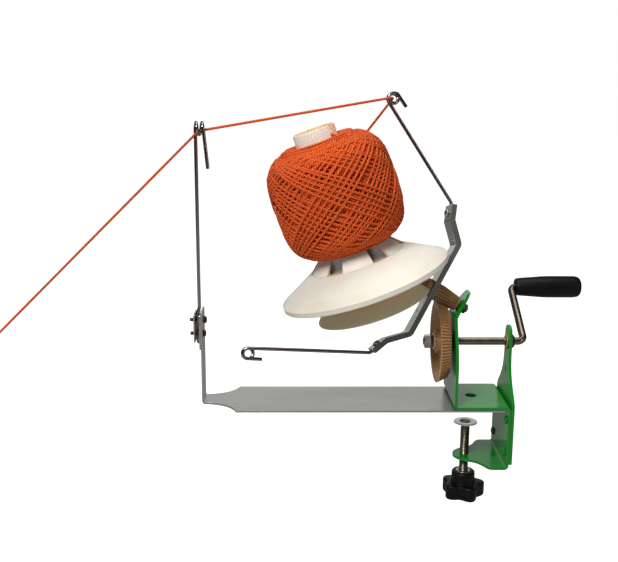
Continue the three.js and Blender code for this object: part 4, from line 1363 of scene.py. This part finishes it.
def make_clamp_screw():
    """Threaded, stepped at the top, and spread over the pad inside its dish."""
    rod = thread(SCREW_R, 0.75, 1.5, -97.6, PAD_TOP - 3.2, 36)
    piece("screw_thread", rod, "screw", "steel", "clamp_screw", sharp=60)
    step = [(0, -3.6), (4.3, -3.6), (4.3, -2.9), (3, -2.9), (3, -1.3), (4.2, -1.3), (3.6, -0.5), (0, -0.4)]
    tip = turned([(r, PAD_TOP + z) for r, z in step], 0.25, 40)
    piece("screw_tip", tip, "screw", "dark", "clamp_screw")


def make_knob():
    """A five-lobed star under a round hub, cored for its insert."""
    outline = [polar(20.3 + 2.9 * cos(LOBES * a), a, 0)[:2] for a in angles(150)]
    levels = ((2.2, -108), (0.9, -107.6), (0.2, -106.7), (0, -105.5), (0, -94.7), (0.2, -93.5), (0.8, -92.8),
              (2.0, -92.5))
    rows = [[(x * 0.62, y * 0.62, -107.7) for x, y in outline]]
    for inset, z in levels:
        rows.append([(x * (1 - inset / 20), y * (1 - inset / 20), z) for x, y in outline])
    piece("knob_star", skin(rows), "screw", "black", "clamp_knob")
    hub = [(8.3, -91.5), (13.6, -92.7), (12.8, -91.2), (12.5, -89.5), (12.3, -81.2), (11.4, -80.2),
           (9.2, -80), (8.3, -80.4)]
    piece("knob_hub", turned(hub, 0.4, 72), "screw", "black", "clamp_knob")
    piece("knob_metal_insert", ring(SCREW_R + 0.25, 8, -97.7, -79.4, 0.5), "screw", "zinc", "knob_insert")


make_pad()
make_clamp_screw()
make_knob()

# ---------------- floor and light

FLOOR_Z = -150
FLOOR_HALF = 6.0  # metres


def make_stage():
    mesh = bpy.data.meshes.new("floor")
    corners = [(x * FLOOR_HALF, y * FLOOR_HALF, 0) for x, y in ((-1, -1), (1, -1), (1, 1), (-1, 1))]
    mesh.from_pydata(corners, [], [(0, 1, 2, 3)])
    floor = add_object("floor", mesh)
    floor.location.z = FLOOR_Z * MM
    n = Nodes("floor")
    n.colour(n.noise(3.0), (0.3, (0.42, 0.42, 0.41)), (0.7, (0.45, 0.45, 0.44)))
    n.set(Roughness=0.9, Emission_Color=(1, 1, 0.99, 1))
    seen = n.add("ShaderNodeLightPath").outputs["Is Camera Ray"]
    n.link(seen, n.shader.inputs["Emission Strength"])
    mesh.materials.append(n.material)


def make_lamp(name, at, target, size, power):
    data = bpy.data.lights.new(name, "AREA")
    data.shape = "RECTANGLE"
    data.size, data.size_y = size
    data.energy = power
    lamp = add_object(name, data)
    lamp.location = Vector(at)
    lamp.rotation_mode = "QUATERNION"
    lamp.rotation_quaternion = (Vector(target) - Vector(at)).to_track_quat("-Z", "Y")


def make_world():
    """White where it is seen, and for light a pale wall behind the object and a dim room in front of it."""
    world = bpy.data.worlds.new("studio")
    world.use_nodes = True
    tree = world.node_tree

    def node(kind, **values):
        made = tree.nodes.new(kind)
        for key, value in values.items():
            made.inputs[key.replace("_", " ")].default_value = value
        return made

    parts = node("ShaderNodeSeparateXYZ")
    tree.links.new(node("ShaderNodeTexCoord").outputs["Generated"], parts.inputs["Vector"])
    level = node("ShaderNodeMapRange", From_Min=0.8, From_Max=0.95, To_Min=0.06, To_Max=0.9)
    tree.links.new(parts.outputs["Y"], level.inputs["Value"])
    seen = node("ShaderNodeMix", B=1.0)
    tree.links.new(node("ShaderNodeLightPath").outputs["Is Camera Ray"], seen.inputs["Factor"])
    tree.links.new(level.outputs["Result"], seen.inputs["A"])
    tree.links.new(seen.outputs["Result"], tree.nodes["Background"].inputs["Strength"])
    tree.nodes["Background"].inputs["Color"].default_value = (1, 1, 1, 1)
    bpy.context.scene.world = world


make_stage()
make_world()
make_lamp("key", (-0.9, -1.3, 1.5), (-0.1, 0, 0.15), (0.8, 0.8), 36)
make_lamp("top", (-0.1, 0.1, 1.7), (-0.1, 0, 0.1), (1.2, 0.9), 12)
make_lamp("fill", (1.4, -1.0, 0.6), (-0.1, 0, 0.15), (0.25, 1.2), 4)
bpy.context.scene.view_settings.view_transform = "Standard"
